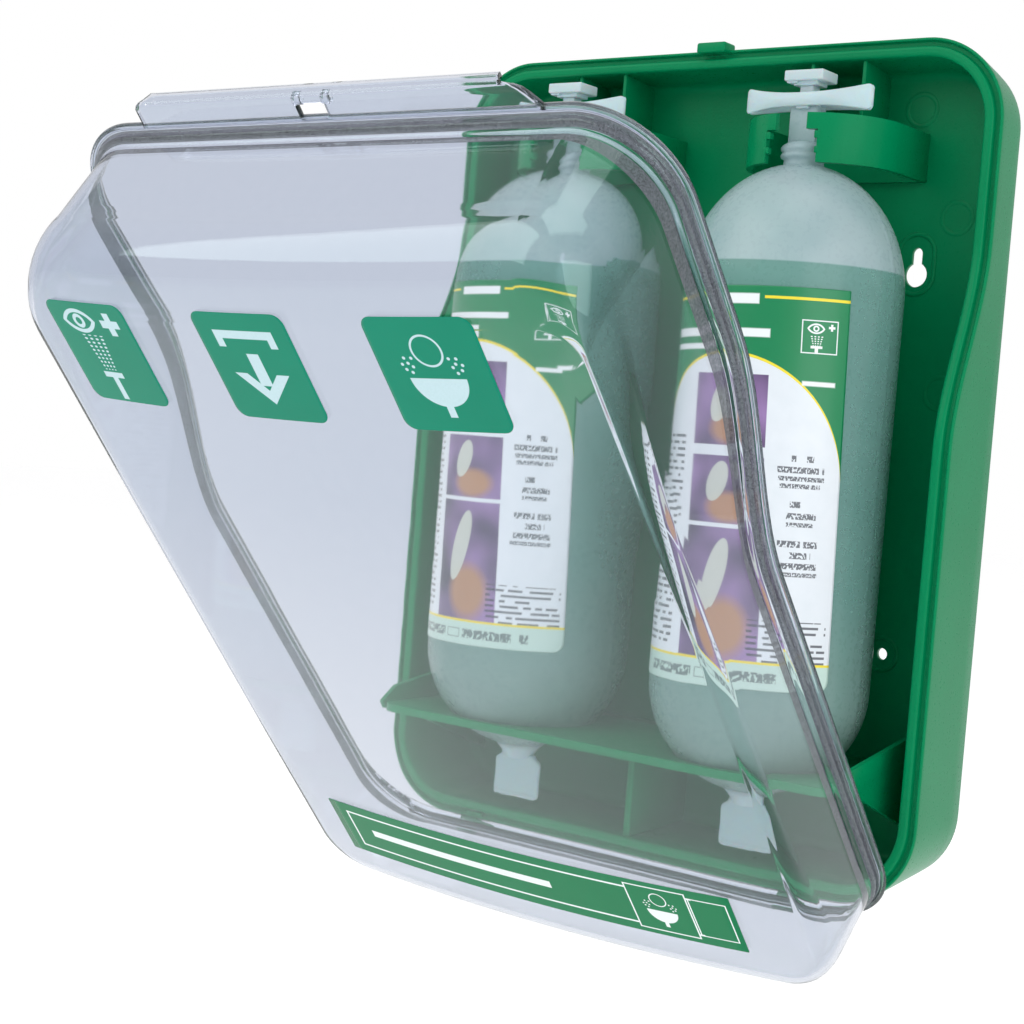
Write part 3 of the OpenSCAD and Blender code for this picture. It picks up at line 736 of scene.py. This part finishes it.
def makeLid(clear, film):
    surface = lidSurface()
    body = gridMesh("clearLid", swing(surface), wrap=True, capEnd=True)
    piece = place("clearLid", body, clear, "lid_unit", "clear_lid", ("lid",))
    wall = piece.modifiers.new("wall", "SOLIDIFY")
    wall.thickness, wall.offset = lid["thick"] * mm, -1
    flap = lidPullSurface()
    cells = (flap[:-1, :-1] + flap[1:, 1:] + flap[:-1, 1:] + flap[1:, :-1]) / 4
    kept = outsideWindow(cells.reshape(-1, 3))
    pull = place("lidPull", gridMesh("lidPull", swing(flap), keep=lambda _: kept),
                 clear, "lid_unit", "clear_lid")
    wall = pull.modifiers.new("wall", "SOLIDIFY")
    wall.thickness, wall.offset = 1.8 * mm, -1
    catch = [roundedBlock("catch", (-10.5, -27.6, 165.4), (-7.0, -25.2, 168.0), 0.4),
             roundedBlock("catch", (1.5, -27.6, 165.4), (5.0, -25.2, 168.0), 0.4)]
    for mesh in catch:
        points = np.empty(len(mesh.vertices) * 3)
        mesh.vertices.foreach_get("co", points)
        mesh.vertices.foreach_set("co", (swing(points.reshape(-1, 3) / mm) * mm).ravel())
    place("lidCatch", joined("lidCatch", catch), clear, "lid_unit", "clear_lid")
    place("frostedBands", frostedBands(), film, "lid_unit", "clear_lid")


def onFace(name, centreX, centreZ, halfX, halfZ, corner, lift):
    # a film that follows the lid's front; its ends pull in where the corners are round
    u = np.linspace(-1, 1, 41)
    v = np.linspace(-1, 1, 41)
    # rows bunch up at the rounded corners
    v = np.sign(v) * (1 - (1 - np.abs(v)) ** 1.6)
    height = v * halfZ
    over = np.clip(np.abs(height) - (halfZ - corner), 0, corner)
    width = halfX - corner + np.sqrt(np.clip(corner ** 2 - over ** 2, 0, None))
    x = centreX + u[None, :] * width[:, None]
    z = centreZ + np.broadcast_to(height[:, None], x.shape)
    front = np.stack([x, -(faceDepth(x, z) + lift), z], axis=-1)
    return gridMesh(name, swing(front), uv=np.stack([x - centreX, z - centreZ], axis=-1))


print("layout ready")

# bottle
bottle = dict(radius=41.0, dome=47.0, wall=1.2, neck=7.5, liquidZ=71.0, seam=0.22)


def bottleProfile(shrink):
    # ball foot, straight side and an elliptical shoulder, from the pole up
    low, r = bottleAt["left"][2], bottle["radius"] - shrink
    foot = np.linspace(-np.pi / 2, 0, 22)
    rise = np.linspace(0, 1, 14)[1:-1]
    dome = np.linspace(0, np.pi / 2, 26)
    points = [(r * np.cos(a), low + r * np.sin(a)) for a in foot]
    points += [(r, low + (shoulderZ - low) * t) for t in rise]
    tall = bottle["dome"] - shrink + 0.8
    points += [(r * np.cos(a), shoulderZ + tall * np.sin(a))
               for a in dome if r * np.cos(a) > bottle["neck"] - shrink]
    return points


def partingSeam(angle):
    # a faint moulding line down both sides
    return bottle["seam"] * np.exp(-(np.sin(angle) / 0.02) ** 2)


def makeBottle(side, looks):
    x, y = bottleAt[side][:2]
    unitName = side + "_bottle_unit"
    profile = bottleProfile(0)
    neckProfile = profile + [(7.5, neckZ + 1), (7.4, neckZ + 2.2), (8.6, neckZ + 2.6), (8.9, neckZ + 3.4),
                             (8.5, neckZ + 4.2), (7.9, neckZ + 4.7), (8.8, neckZ + 5.4), (8.9, neckZ + 6.4),
                             (8.2, neckZ + 7.4), (6.2, neckZ + 8.6), (0.4, neckZ + 8.9)]
    neckProfile[0] = (0.4, neckProfile[0][1])
    shell = turned("bottleShell", neckProfile, x, y, 220, partingSeam)
    block = roundedBlock("neckBlock", (x - 5.75, y - 3.5, neckZ + 8), (x + 5.75, y + 3.5, neckZ + 22), 0.6)
    place(side + "BottleShell", joined("bottleShell", [shell, block]), looks["bottle"], unitName,
          "bottle_plastic",
          (side + "_bottle",))

    inner = [p for p in bottleProfile(bottle["wall"] + 0.25) if p[1] < bottle["liquidZ"]]
    inner[0] = (0.4, inner[0][1])
    level = bottle["liquidZ"]
    edge = inner[-1][0]
    inner += [(edge - 0.3, level + 0.3), (edge - 1.2, level - 0.1),
              (edge * 0.5, level - 0.15), (0.4, level - 0.15)]
    place(side + "Liquid", turned("liquid", inner, x, y, 120), looks["saline"], unitName, "saline",
          (side + "_saline",))

    makeLabel(side, looks["label"], unitName)
    makeBand(side, looks["cap"], unitName)
    makeEndTab(side, looks["cap"], unitName)
    makeCap(side, looks["cap"])


# the label's sizes are on the paper: around is measured along the bottle; slant leans
# it, turn is its start angle
label = dict(halfAround=44.3, low=-81.5, high=61.3, corner=4.5, lift=0.14, slant=0.032, rise=0.012,
             turn=dict(left=-6.3, right=0.0))


def makeLabel(side, material, body):
    x, y, _ = bottleAt[side]
    half = (label["high"] - label["low"]) / 2
    v = np.linspace(-1, 1, 61)
    v = np.sign(v) * (1 - (1 - np.abs(v)) ** 1.5)
    height = (label["high"] + label["low"]) / 2 + v * half
    over = np.clip(label["low"] + label["corner"] - height, 0, label["corner"])
    width = label["halfAround"] - label["corner"] + np.sqrt(label["corner"] ** 2 - over ** 2)
    around = np.linspace(-1, 1, 97)[None, :] * width[:, None]
    flatZ = np.broadcast_to(height[:, None], around.shape)
    r = bottle["radius"] + label["lift"]
    turn = -np.pi / 2 + (around - label["slant"] * (flatZ + 10) + label["turn"][side]) / bottle["radius"]
    z = flatZ + label["rise"] * around
    points = np.stack([x + r * np.cos(turn), y + r * np.sin(turn), z], axis=-1)
    mesh = gridMesh("label", points, uv=np.stack([around, flatZ], axis=-1))
    piece = place(side + "LabelSheet", mesh, material, body, "label_paper", (side + "_label",))
    paper = piece.modifiers.new("paper", "SOLIDIFY")
    paper.thickness, paper.offset = 0.12 * mm, 1


band = dict(reach=26.3, half=6.0, thick=1.2, tall=9.7, sag=3.2, corner=1.7)


def makeBand(side, material, body):
    # a flattened loop round the neck; front and back dip between the ends like a saddle, the ends are rounded
    x, y, _ = bottleAt[side]
    turn = np.linspace(0, 2 * np.pi, 192, endpoint=False)
    wide, deep = np.cos(turn), np.sin(turn)
    middle = 1 - np.abs(wide) ** 2.2
    past = np.clip((np.abs(wide) * band["reach"] - band["reach"] + band["corner"]) / band["corner"], 0, 1)
    rounding = band["corner"] * (1 - np.sqrt(1 - past ** 2))
    low = neckZ + 20.1 + 1.6 * middle + rounding
    high = neckZ + 20.1 + band["tall"] - band["sag"] * middle - rounding
    section = []
    for out, t in [(0.25, 0.0), (0.75, 0.0), (1.0, 0.06), (1.0, 0.5), (1.0, 0.94), (0.75, 1.0), (0.25, 1.0),
                   (0.0, 0.94), (0.0, 0.5), (0.0, 0.06), (0.25, 0.0)]:
        reach = band["reach"] - band["thick"] * (1 - out)
        half = band["half"] * (0.62 + 0.38 * np.abs(deep)) - band["thick"] * (1 - out)
        section.append(np.stack([x + reach * wide, y + half * deep, low + (high - low) * t], axis=-1))
    loop = gridMesh("band", np.array(section), wrap=True, flip=True)
    meshes = [loop]
    for sign in (-1, 1):
        near, far = sorted((y + sign * 3.3, y + sign * (band["half"] - 0.9)))
        meshes.append(roundedBlock("web", (x - 2.5, near, neckZ + 20.8), (x + 2.5, far, neckZ + 21.8), 0.3))
    place(side + "GripBand", joined("band", meshes), material, body, "natural_plastic",
          (side + "_grip_band",))


def makeEndTab(side, material, body):
    # a gate tab under the ball foot: short cone, flat tab with a soft waist, thick rim and a pinch hollow
    x, y, middle = bottleAt[side]
    foot = middle - bottle["radius"]
    cone = [(0.3, foot - 5), (5.0, foot - 5), (5.8, foot - 4.4), (7.6, foot - 1.5),
            (9.6, foot + 0.7), (8.0, foot + 1.2),
            (0.3, foot + 1.2)]
    meshes = [turned("cone", cone, x, y, 64)]
    v = np.linspace(0, 1, 25)
    turn = np.linspace(0, 2 * np.pi, 96, endpoint=False)
    # flat superellipse sections, carried down the tab
    half = 11.7 * (1 - 0.30 * np.exp(-((v - 0.02) / 0.10) ** 2)
                 - 0.05 * np.sin(np.pi * v)) * (1 - 0.10 * v ** 12)
    deep = 1.3 + 0.5 * np.exp(-((v - 0.97) / 0.05) ** 2)
    cosT, sinT = np.cos(turn), np.sin(turn)
    px = x + half[:, None] * np.sign(cosT) * np.abs(cosT) ** 0.35
    hollow = 1 - 0.45 * np.exp(-(cosT[None, :] / 0.75) ** 4) * np.sin(
        np.pi * np.clip(v * 1.15 - 0.1, 0, 1))[:, None]
    py = y + deep[:, None] * np.sign(sinT) * np.abs(sinT) ** 0.6 * hollow
    ragged = 0.35 * np.sin(5 * px + 1.0) * (v[:, None] > 0.9)
    pz = foot - 3.6 - 17.6 * v[:, None] + 0 * px + ragged
    meshes.append(gridMesh("tab", np.stack([px, py, pz], axis=-1),
                           wrap=True, capStart=True, capEnd=True, flip=True))
    place(side + "EndTab", joined("endTab", meshes), material, body, "natural_plastic", (side + "_end_tab",))


def makeCap(side, material):
    # the T-handle that twists off the neck
    x, y, _ = bottleAt[side]
    top = neckZ + 31
    meshes = [roundedBlock("stem", (x - 2.75, y - 2.75, neckZ + 22.1), (x + 2.75, y + 2.75, top), 0.5),
              roundedBlock("plate", (x - 8, y - 6, top), (x + 8, y + 6, top + 3.9), 0.55),
              roundedBlock("step", (x - 5, y - 4, top - 1.5), (x + 5, y + 4, top + 0.4), 0.4),
              roundedBlock("notch", (x - 7.2, y - 5.2, top - 0.7), (x - 3, y - 1.5, top + 0.3), 0.3),
              roundedBlock("collar", (x - 3.6, y - 3.2, neckZ + 22.1), (x + 3.6, y + 3.2, neckZ + 23.3), 0.4)]
    place(side + "TwistCap", joined("cap", meshes), material, side + "_cap_unit", "natural_plastic",
          (side + "_twist_cap",))


# materials
def greenPlastic():
    material, s = starting("greenMoulding")
    spot = s.objectCoords()
    broad = s.noise(spot, 22.0, 3.0)
    fine = s.noise(spot, 900.0, 2.0)
    base = (broad * 1.2 - 0.1).clamp().tint((0.0, 0.185, 0.068), (0.0, 0.225, 0.086))
    s.finish(base=base, rough=0.24 + fine * 0.1,
             normal=s.bump(fine, 0.12, 0.0004), Specular_IOR_Level=0.1, IOR=1.5)
    return material


def clearPlastic():
    # lamps shine straight through; eyes see real refraction
    material, s = starting("clearLid")
    spot = s.objectCoords()
    ripple = s.noise(spot, 14.0, 2.0)
    scuff = s.noise(spot, 240.0, 3.0)
    base = (scuff * 1.4 - 0.2).clamp().tint((0.86, 0.885, 0.93), (0.89, 0.91, 0.95))
    glass = s.shader(base=base, rough=0.012 + scuff * 0.03, normal=s.bump(ripple, 0.10, 0.002),
                     Transmission_Weight=1.0, IOR=1.49, Specular_Tint=(0.72, 1.0, 0.93, 1))
    through = s.add("ShaderNodeBsdfTransparent", {}, {"Color": (0.96, 0.975, 0.98, 1)})
    rays = [s.add("ShaderNodeLightPath", {}, {}, k) for k in (1, 2)]
    surface = s.add("ShaderNodeMixShader", {}, {0: rays[0].high(rays[1]), 1: glass, 2: through})
    s.output(surface)
    return material


def hingeSteel():
    material, s = starting("hingeSteel")
    spot = s.objectCoords()
    drawn = s.noise(s.add("ShaderNodeMapping", {}, {"Vector": spot,
                                                          "Scale": (30.0, 1800.0, 1800.0)}), 1.0, 2.0)
    base = drawn.ramp([(0.3, (0.48, 0.49, 0.5)), (0.7, (0.62, 0.63, 0.64))])
    s.finish(base=base, rough=0.22 + drawn * 0.15, normal=s.bump(drawn, 0.2, 0.0001), Metallic=1.0)
    return material


def frostedBottle():
    # part of the light passes, the rest is scattered by the milky wall, which looks
    # deeper where liquid wets it
    material, s = starting("bottlePlastic")
    spot = s.objectCoords()
    cloud = s.noise(spot, 35.0, 3.0)
    grain = s.noise(spot, 500.0, 2.0)
    height = s.axes(spot)[2]
    wet = ((bottle["liquidZ"] * mm - height) / 0.0006).clamp()
    dry = (cloud * 2.2 - 0.6).clamp().tint((0.44, 0.60, 0.66), (0.64, 0.78, 0.84))
    soaked = (cloud * 1.6 - 0.3).clamp().tint((0.19, 0.40, 0.37), (0.25, 0.47, 0.44))
    # the foot scatters more light
    # painted light: the wall's colour is painted paler towards the foot, to lift the shade that falls there
    foot = ((-0.045 - height) / 0.075).clamp()
    soaked = foot.tint(soaked, (0.42, 0.56, 0.54))
    milky = s.shader(base=wet.tint(dry, soaked), rough=0.24 + grain * 0.08,
                     normal=s.bump(cloud, 0.15, 0.001), Coat_Weight=0.25, Coat_Roughness=0.15, IOR=1.45)
    through = s.add("ShaderNodeBsdfTransparent", {}, {"Color": (0.93, 0.98, 0.97, 1)})
    s.output(s.add("ShaderNodeMixShader", {}, {0: 0.46 + cloud * 0.08, 1: milky, 2: through}))
    return material


def salineLiquid():
    material, s = starting("saline")
    spot = s.objectCoords()
    drift = s.noise(spot, 18.0, 2.0)
    base = (drift * 1.4 - 0.2).clamp().tint((0.10, 0.30, 0.25), (0.15, 0.36, 0.30))
    murk = s.shader(base=base, rough=0.15 + drift * 0.1, normal=s.bump(drift, 0.05, 0.001), IOR=1.33)
    through = s.add("ShaderNodeBsdfTransparent", {}, {"Color": (0.72, 0.93, 0.86, 1)})
    s.output(s.add("ShaderNodeMixShader", {}, {0: 0.70, 1: murk, 2: through}))
    return material


def frostedEdge():
    # speckled grey inside the lid's edge
    material, s = starting("lidEdgeFrost")
    spot = s.objectCoords()
    speckle = s.noise(spot, 1600.0, 3.0)
    streak = s.noise(spot, 60.0, 2.0)
    base = (speckle * 2.2 - 0.6).clamp().tint((0.03, 0.03, 0.04), (0.17, 0.17, 0.20))
    cover = (0.7 + streak * 0.3).clamp()
    dull = s.shader(base=base, rough=0.35 + speckle * 0.2, normal=s.bump(speckle, 0.5, 0.0004), IOR=1.5)
    through = s.add("ShaderNodeBsdfTransparent", {}, {"Color": (0.9, 0.92, 0.94, 1)})
    s.output(s.add("ShaderNodeMixShader", {}, {0: cover, 1: through, 2: dull}))
    return material


def naturalPlastic():
    material, s = starting("naturalPlastic")
    spot = s.objectCoords()
    cloud = s.noise(spot, 90.0, 3.0)
    grain = s.noise(spot, 700.0, 2.0)
    base = (cloud * 1.6 - 0.3).clamp().tint((0.52, 0.66, 0.71), (0.66, 0.79, 0.82))
    milky = s.shader(base=base, rough=0.28 + grain * 0.12, normal=s.bump(grain + cloud * 3, 0.3, 0.0005),
                     Subsurface_Weight=0.35, Subsurface_Scale=0.006, IOR=1.45)
    through = s.add("ShaderNodeBsdfTransparent", {}, {"Color": (0.95, 0.98, 0.99, 1)})
    s.output(s.add("ShaderNodeMixShader", {}, {0: 0.12 + cloud * 0.3, 1: milky, 2: through}))
    return material


inks = dict(green=(0.0, 0.225, 0.135), pale=(0.50, 0.66, 0.71),
            strip=(0.004, 0.185, 0.070), white=(0.80, 0.86, 0.87))


def printedFilm(name, ground, ink, draw):
    # a glossy film with one ink; draw gives the ink's mask from the flat map in millimetres
    material, s = starting(name)
    u, v = s.uvAxes()
    dots = s.noise(s.objectCoords(), 1400.0, 1.0)
    shade = (s.noise(s.objectCoords(), 30.0, 2.0) * 1.4 - 0.2).clamp().tint(
        tuple(c * 0.88 for c in ground), ground)
    mask = (draw(u, v) * (0.9 + dots * 0.12)).clamp()
    s.finish(base=mask.tint(shade, ink), rough=0.2 + dots * 0.08, normal=s.bump(dots, 0.06, 0.0002),
             Specular_IOR_Level=0.12, Coat_Weight=0.04, Coat_Roughness=0.08)
    return material


def drawEyeRinse(u, v):
    # an eye and a cross over a spray that rises from a hand nozzle
    spray = sprayMark(u, v, -2.5, -7.0, 7.0, 3.4, 6.5, 1.55, 0.42)
    head = bar(u, v, -2.5, -9.0, 4.8, 1.1).high(bar(u, v, -2.5, -14.0, 1.3, 5.0))
    return eyeMark(u, v, -5.5, 12.5, 8.2).high(plusMark(u, v, 10.0, 12.0, 4.4)).high(spray).high(head)


def drawPull(u, v):
    # a wide down arrow under a bar
    shaft = bar(u, v, 0.0, -1.0, 2.5, 6.0)
    fall = v + 14.0
    arms = inside((abs(u) - fall).high(abs(abs(u) - fall + 2.6) - 2.6).high(fall - 11.5))
    grip = bar(u, v, 0.0, 12.0, 12.5, 1.5).high(bar(u, v, -11.0, 10.3, 1.5, 3.0)).high(
        bar(u, v, 11.0, 10.3, 1.5, 3.0))
    return shaft.high(arms).high(grip)


def basinMark(u, v, cu, cv, k):
    # a plain round head above a basin, with drops falling on both sides
    ring = disc(u, v, cu, cv + 7.0 * k, 5.6 * k) - disc(u, v, cu, cv + 7.0 * k, 4.9 * k)
    bowl = disc(u, v, cu, cv - 2.6 * k, 10.0 * k).low(bar(u, v, cu, cv - 8.0 * k, 12 * k, 5.4 * k))
    foot = bar(u, v, cu, cv - 14.2 * k, 1.3 * k, 2.2 * k)
    drops = None
    for sign in (-1, 1):
        for out, high in ((6.6, 4.4), (8.4, 2.6), (7.0, 1.4), (9.8, 0.4),
                         (8.0, -0.6), (9.2, 4.4), (10.6, 2.2)):
            drop = disc(u, v, cu + sign * out * k, cv + high * k, 0.55 * k)
            drops = drop if drops is None else drops.high(drop)
    return ring.clamp().high(bowl).high(foot).high(drops)


def drawBasin(u, v):
    return basinMark(u, v, 0.0, 1.5, 1.0)


def drawStrip(u, v):
    # border lines, one plain bar and the basin in a frame near the right end
    lines = bar(u, v, -4.0, 9.6, 80.0, 0.45).high(bar(u, v, -4.0, -9.6, 80.0, 0.45))
    ends = bar(u, v, -83.6, 0.0, 0.45, 10.0).high(frameMark(u, v, 82.0, 0.0, 7.6, 10.0, 0.5))
    frameBox = frameMark(u, v, 61.5, 0.0, 12.5, 12.0, 0.6)
    words = bar(u, v, -30.0, 0.0, 44.0, 1.8)
    clear = 1 - bar(u, v, 61.5, 0.0, 12.5, 12.0)
    return (lines.high(ends).high(words) * clear).high(frameBox).high(basinMark(u, v, 61.5, 1.2, 0.62))


def glyphRow(s, u, v, cu, cv, half, tall, seed):
    # a line of blank text: words from coarse noise, broken up by fine noise
    spot = s.add("ShaderNodeCombineXYZ", {}, {0: u * (0.5 / tall), 1: seed * 3.7, 2: 0.0})
    fine = s.add("ShaderNodeCombineXYZ", {}, {0: u * (3.2 / tall), 1: v * (1.9 / tall), 2: seed})
    return (s.noise(spot, 1.0, 0.0) > 0.36) * (s.noise(fine, 1.0, 1.0) > 0.45) * bar(
        u, v, cu, cv, half, tall / 2)


# label art in its own millimetres
labelArt = dict(arch=(44.4, 46.7, -9.6), yellow=(0.80, 0.66, 0.03), header=(0.0, 0.20, 0.07),
                blocks=[(-34.0, 50.0, 43.2, 3.0), (-34.0, 36.0, 38.6, 2.0), (-10.0, 21.5, 54.9, 3.6),
                        (28.0, 12.0, 27.0, 1.6)],
                panels=[(4.4, 30.0), (-23.5, 0.6), (-71.5, -25.0)],
                rows=[(29.4, 1.2, 4.4, 2.2), (29.4, -2.8, 8.4, 2.2), (29.3, -5.9, 8.6, 1.6),
                      (29.3, -8.5, 7.2, 1.6),
                      (29.6, -15.0, 3.6, 2.2), (29.6, -19.1, 6.0, 2.2), (29.8, -22.1, 4.8, 1.5),
                      (29.4, -29.0, 7.2, 2.3), (29.4, -33.0, 4.9, 2.3), (29.4, -36.8, 7.2, 2.2),
                      (29.0, -39.8, 8.0, 1.5)])


def labelPaper():
    material, s = starting("bottleLabel")
    u, v = s.uvAxes()
    spot = s.objectCoords()
    yellow = labelArt["yellow"]
    colour = (s.noise(spot, 160.0, 3.0) * 1.2 - 0.1).clamp().tint((0.66, 0.71, 0.76), (0.73, 0.77, 0.82))
    # the white field is an arch; a yellow line follows it
    reach, tall, spring = labelArt["arch"]
    bow = (1 - (u / reach).squared()).high(0.0).root() * tall + spring
    field = (v < bow)
    colour = (1 - field).tint(colour, labelArt["header"])
    edge = inside(abs(v - bow - 0.5) - 0.5) * (v > spring)
    topLine = bar(u, v, 30.0, 57.4, 16.5, 0.5).high(bar(u, v, -30.0, 57.4, 17.0, 0.5))
    colour = edge.high(topLine).tint(colour, yellow)
    # plain bars in the header, and a small eye-rinse sign
    blocks = None
    for start, width, foot, high in labelArt["blocks"]:
        block = bar(u, v, start + width / 2, foot + high / 2, width / 2, high / 2, 0.5)
        blocks = block if blocks is None else blocks.high(block)
    sign = frameMark(u, v, 33.5, 44.3, 6.6, 5.9, 0.4).high(eyeMark(u, v, 32.0, 47.2, 3.2)) \
        .high(plusMark(u, v, 37.7, 47.8, 1.2)).high(sprayMark(u, v, 32.4, 41.2, 44.8, 1.7, 2.8, 0.8, 0.22)) \
        .high(bar(u, v, 32.4, 40.7, 2.1, 0.45)).high(bar(u, v, 32.4, 39.7, 0.6, 0.9))
    colour = blocks.high(sign).tint(colour, (0.78, 0.82, 0.84))
    # three panels with soft abstract shapes: a pale capsule over a warm round shape
    glow = s.noise(s.add("ShaderNodeCombineXYZ", {}, {0: u * 0.05, 1: v * 0.05, 2: 3.1}), 1.0, 1.0)
    purple = (glow * 2.4 - 0.7).clamp().tint((0.05, 0.035, 0.08), (0.30, 0.18, 0.40))
    for low, high in labelArt["panels"]:
        mid, size = (low + high) / 2, high - low
        panel = bar(u, v, 0.9, mid, 15.4, size / 2)
        lean = u + 3.0 - (v - mid) * 0.25
        body = inside(((lean / 4.2).squared()
                      + ((v - mid - size * 0.12) / (size * 0.30)).squared()).root() * 4.0 - 4.0)
        warm = inside((((u - 3.0) / 9.0).squared()
                      + ((v - mid + size * 0.26) / (size * 0.22)).squared()).root() * 6.0
                      - 6.0, 3.0)
        scene = warm.tint(purple, (0.42, 0.22, 0.13))
        scene = (body * 0.85).tint(scene, (0.58, 0.62, 0.55))
        colour = (panel * field).tint(colour, scene)
    # lines of blank text
    ink = None
    for k, (cu, cv, half, high) in enumerate(labelArt["rows"]):
        row = glyphRow(s, u, v, cu, cv, half, high, k + 1.0)
        ink = row if ink is None else ink.high(row)
    ink = ink.high(wordRows(s, u, v, -31.0, -30.0, 11.0, 38.0, 2.4, 0.42, 6.0))
    ink = ink.high(wordRows(s, u, v, 27.0, -64.0, 15.0, 7.5, 2.1, 0.42, 7.0)) * field
    colour = (ink * 0.85).tint(colour, (0.03, 0.035, 0.05))
    # pale green foot with its code line
    colour = (v < -72.3).tint(colour, (0.50, 0.66, 0.60))
    colour = bar(u, v, 0.0, -71.9, 80.0, 0.45).tint(colour, yellow)
    codes = glyphRow(s, u, v, -20.0, -77.0, 12.0, 3.6, 21.0).high(
        glyphRow(s, u, v, 16.0, -77.0, 14.0, 3.6, 23.0)) \
        .high(frameMark(u, v, -3.0, -77.0, 3.4, 1.8, 0.3))
    colour = (codes * 0.8).tint(colour, (0.05, 0.07, 0.08))
    wrinkle = s.noise(spot, 70.0, 2.0)
    s.finish(base=colour, rough=0.3 + wrinkle * 0.12, normal=s.bump(wrinkle, 0.12, 0.0006), Coat_Weight=0.15,
             Coat_Roughness=0.2)
    return material


def makeFilms(eye, pull, basin, strip):
    films = [("eyeRinseFilm", -78.8, 111, 19.5, 20, 4.0, eye, "sticker_film", "eye_rinse_sticker"),
             ("pullFilm", -7.3, 111, 19.5, 20, 4.0, pull, "sticker_film", "pull_sticker"),
             ("basinFilm", 61.8, 111, 19.5, 20, 4.0, basin, "sticker_film", "basin_sticker"),
             ("nameFilm", -3.25, -121.4, 91.8, 14.3, 0.6, strip, "strip_film", "name_strip")]
    for name, x, z, halfX, halfZ, corner, material, slot, node in films:
        piece = place(name, onFace(name, x, z, halfX, halfZ, corner, 0.12),
                      material, "lid_unit", slot, (node,))
        film = piece.modifiers.new("film", "SOLIDIFY")
        film.thickness, film.offset = 0.12 * mm, 1


makeCamera()
makeStudio()
green, steel = greenPlastic(), hingeSteel()
makeTray(green)
print("tray made")
softened("bottle_shelf", "bottleShelf", 0.5, "green_moulding", green, "tray_unit")
for side in ("left", "right"):
    softened(side + "_neck_clip", side + "NeckClip", 0.45, "green_moulding", green, "tray_unit")
    frame["nodes"][side + "_hinge_pin"].data.materials.clear()
    frame["nodes"][side + "_hinge_pin"].data.materials.append(steel)
print("shelf and clips made")
makeLid(clearPlastic(), frostedEdge())
makeFilms(printedFilm("eyeRinsePrint", inks["green"], inks["pale"], drawEyeRinse),
          printedFilm("pullPrint", inks["green"], inks["pale"], drawPull),
          printedFilm("basinPrint", inks["green"], inks["pale"], drawBasin),
          printedFilm("stripPrint", inks["strip"], inks["white"], drawStrip))
print("lid made")
looks = dict(bottle=frostedBottle(), saline=salineLiquid(), label=labelPaper(), cap=naturalPlastic())
for side in ("left", "right"):
    makeBottle(side, looks)
print("bottles made")
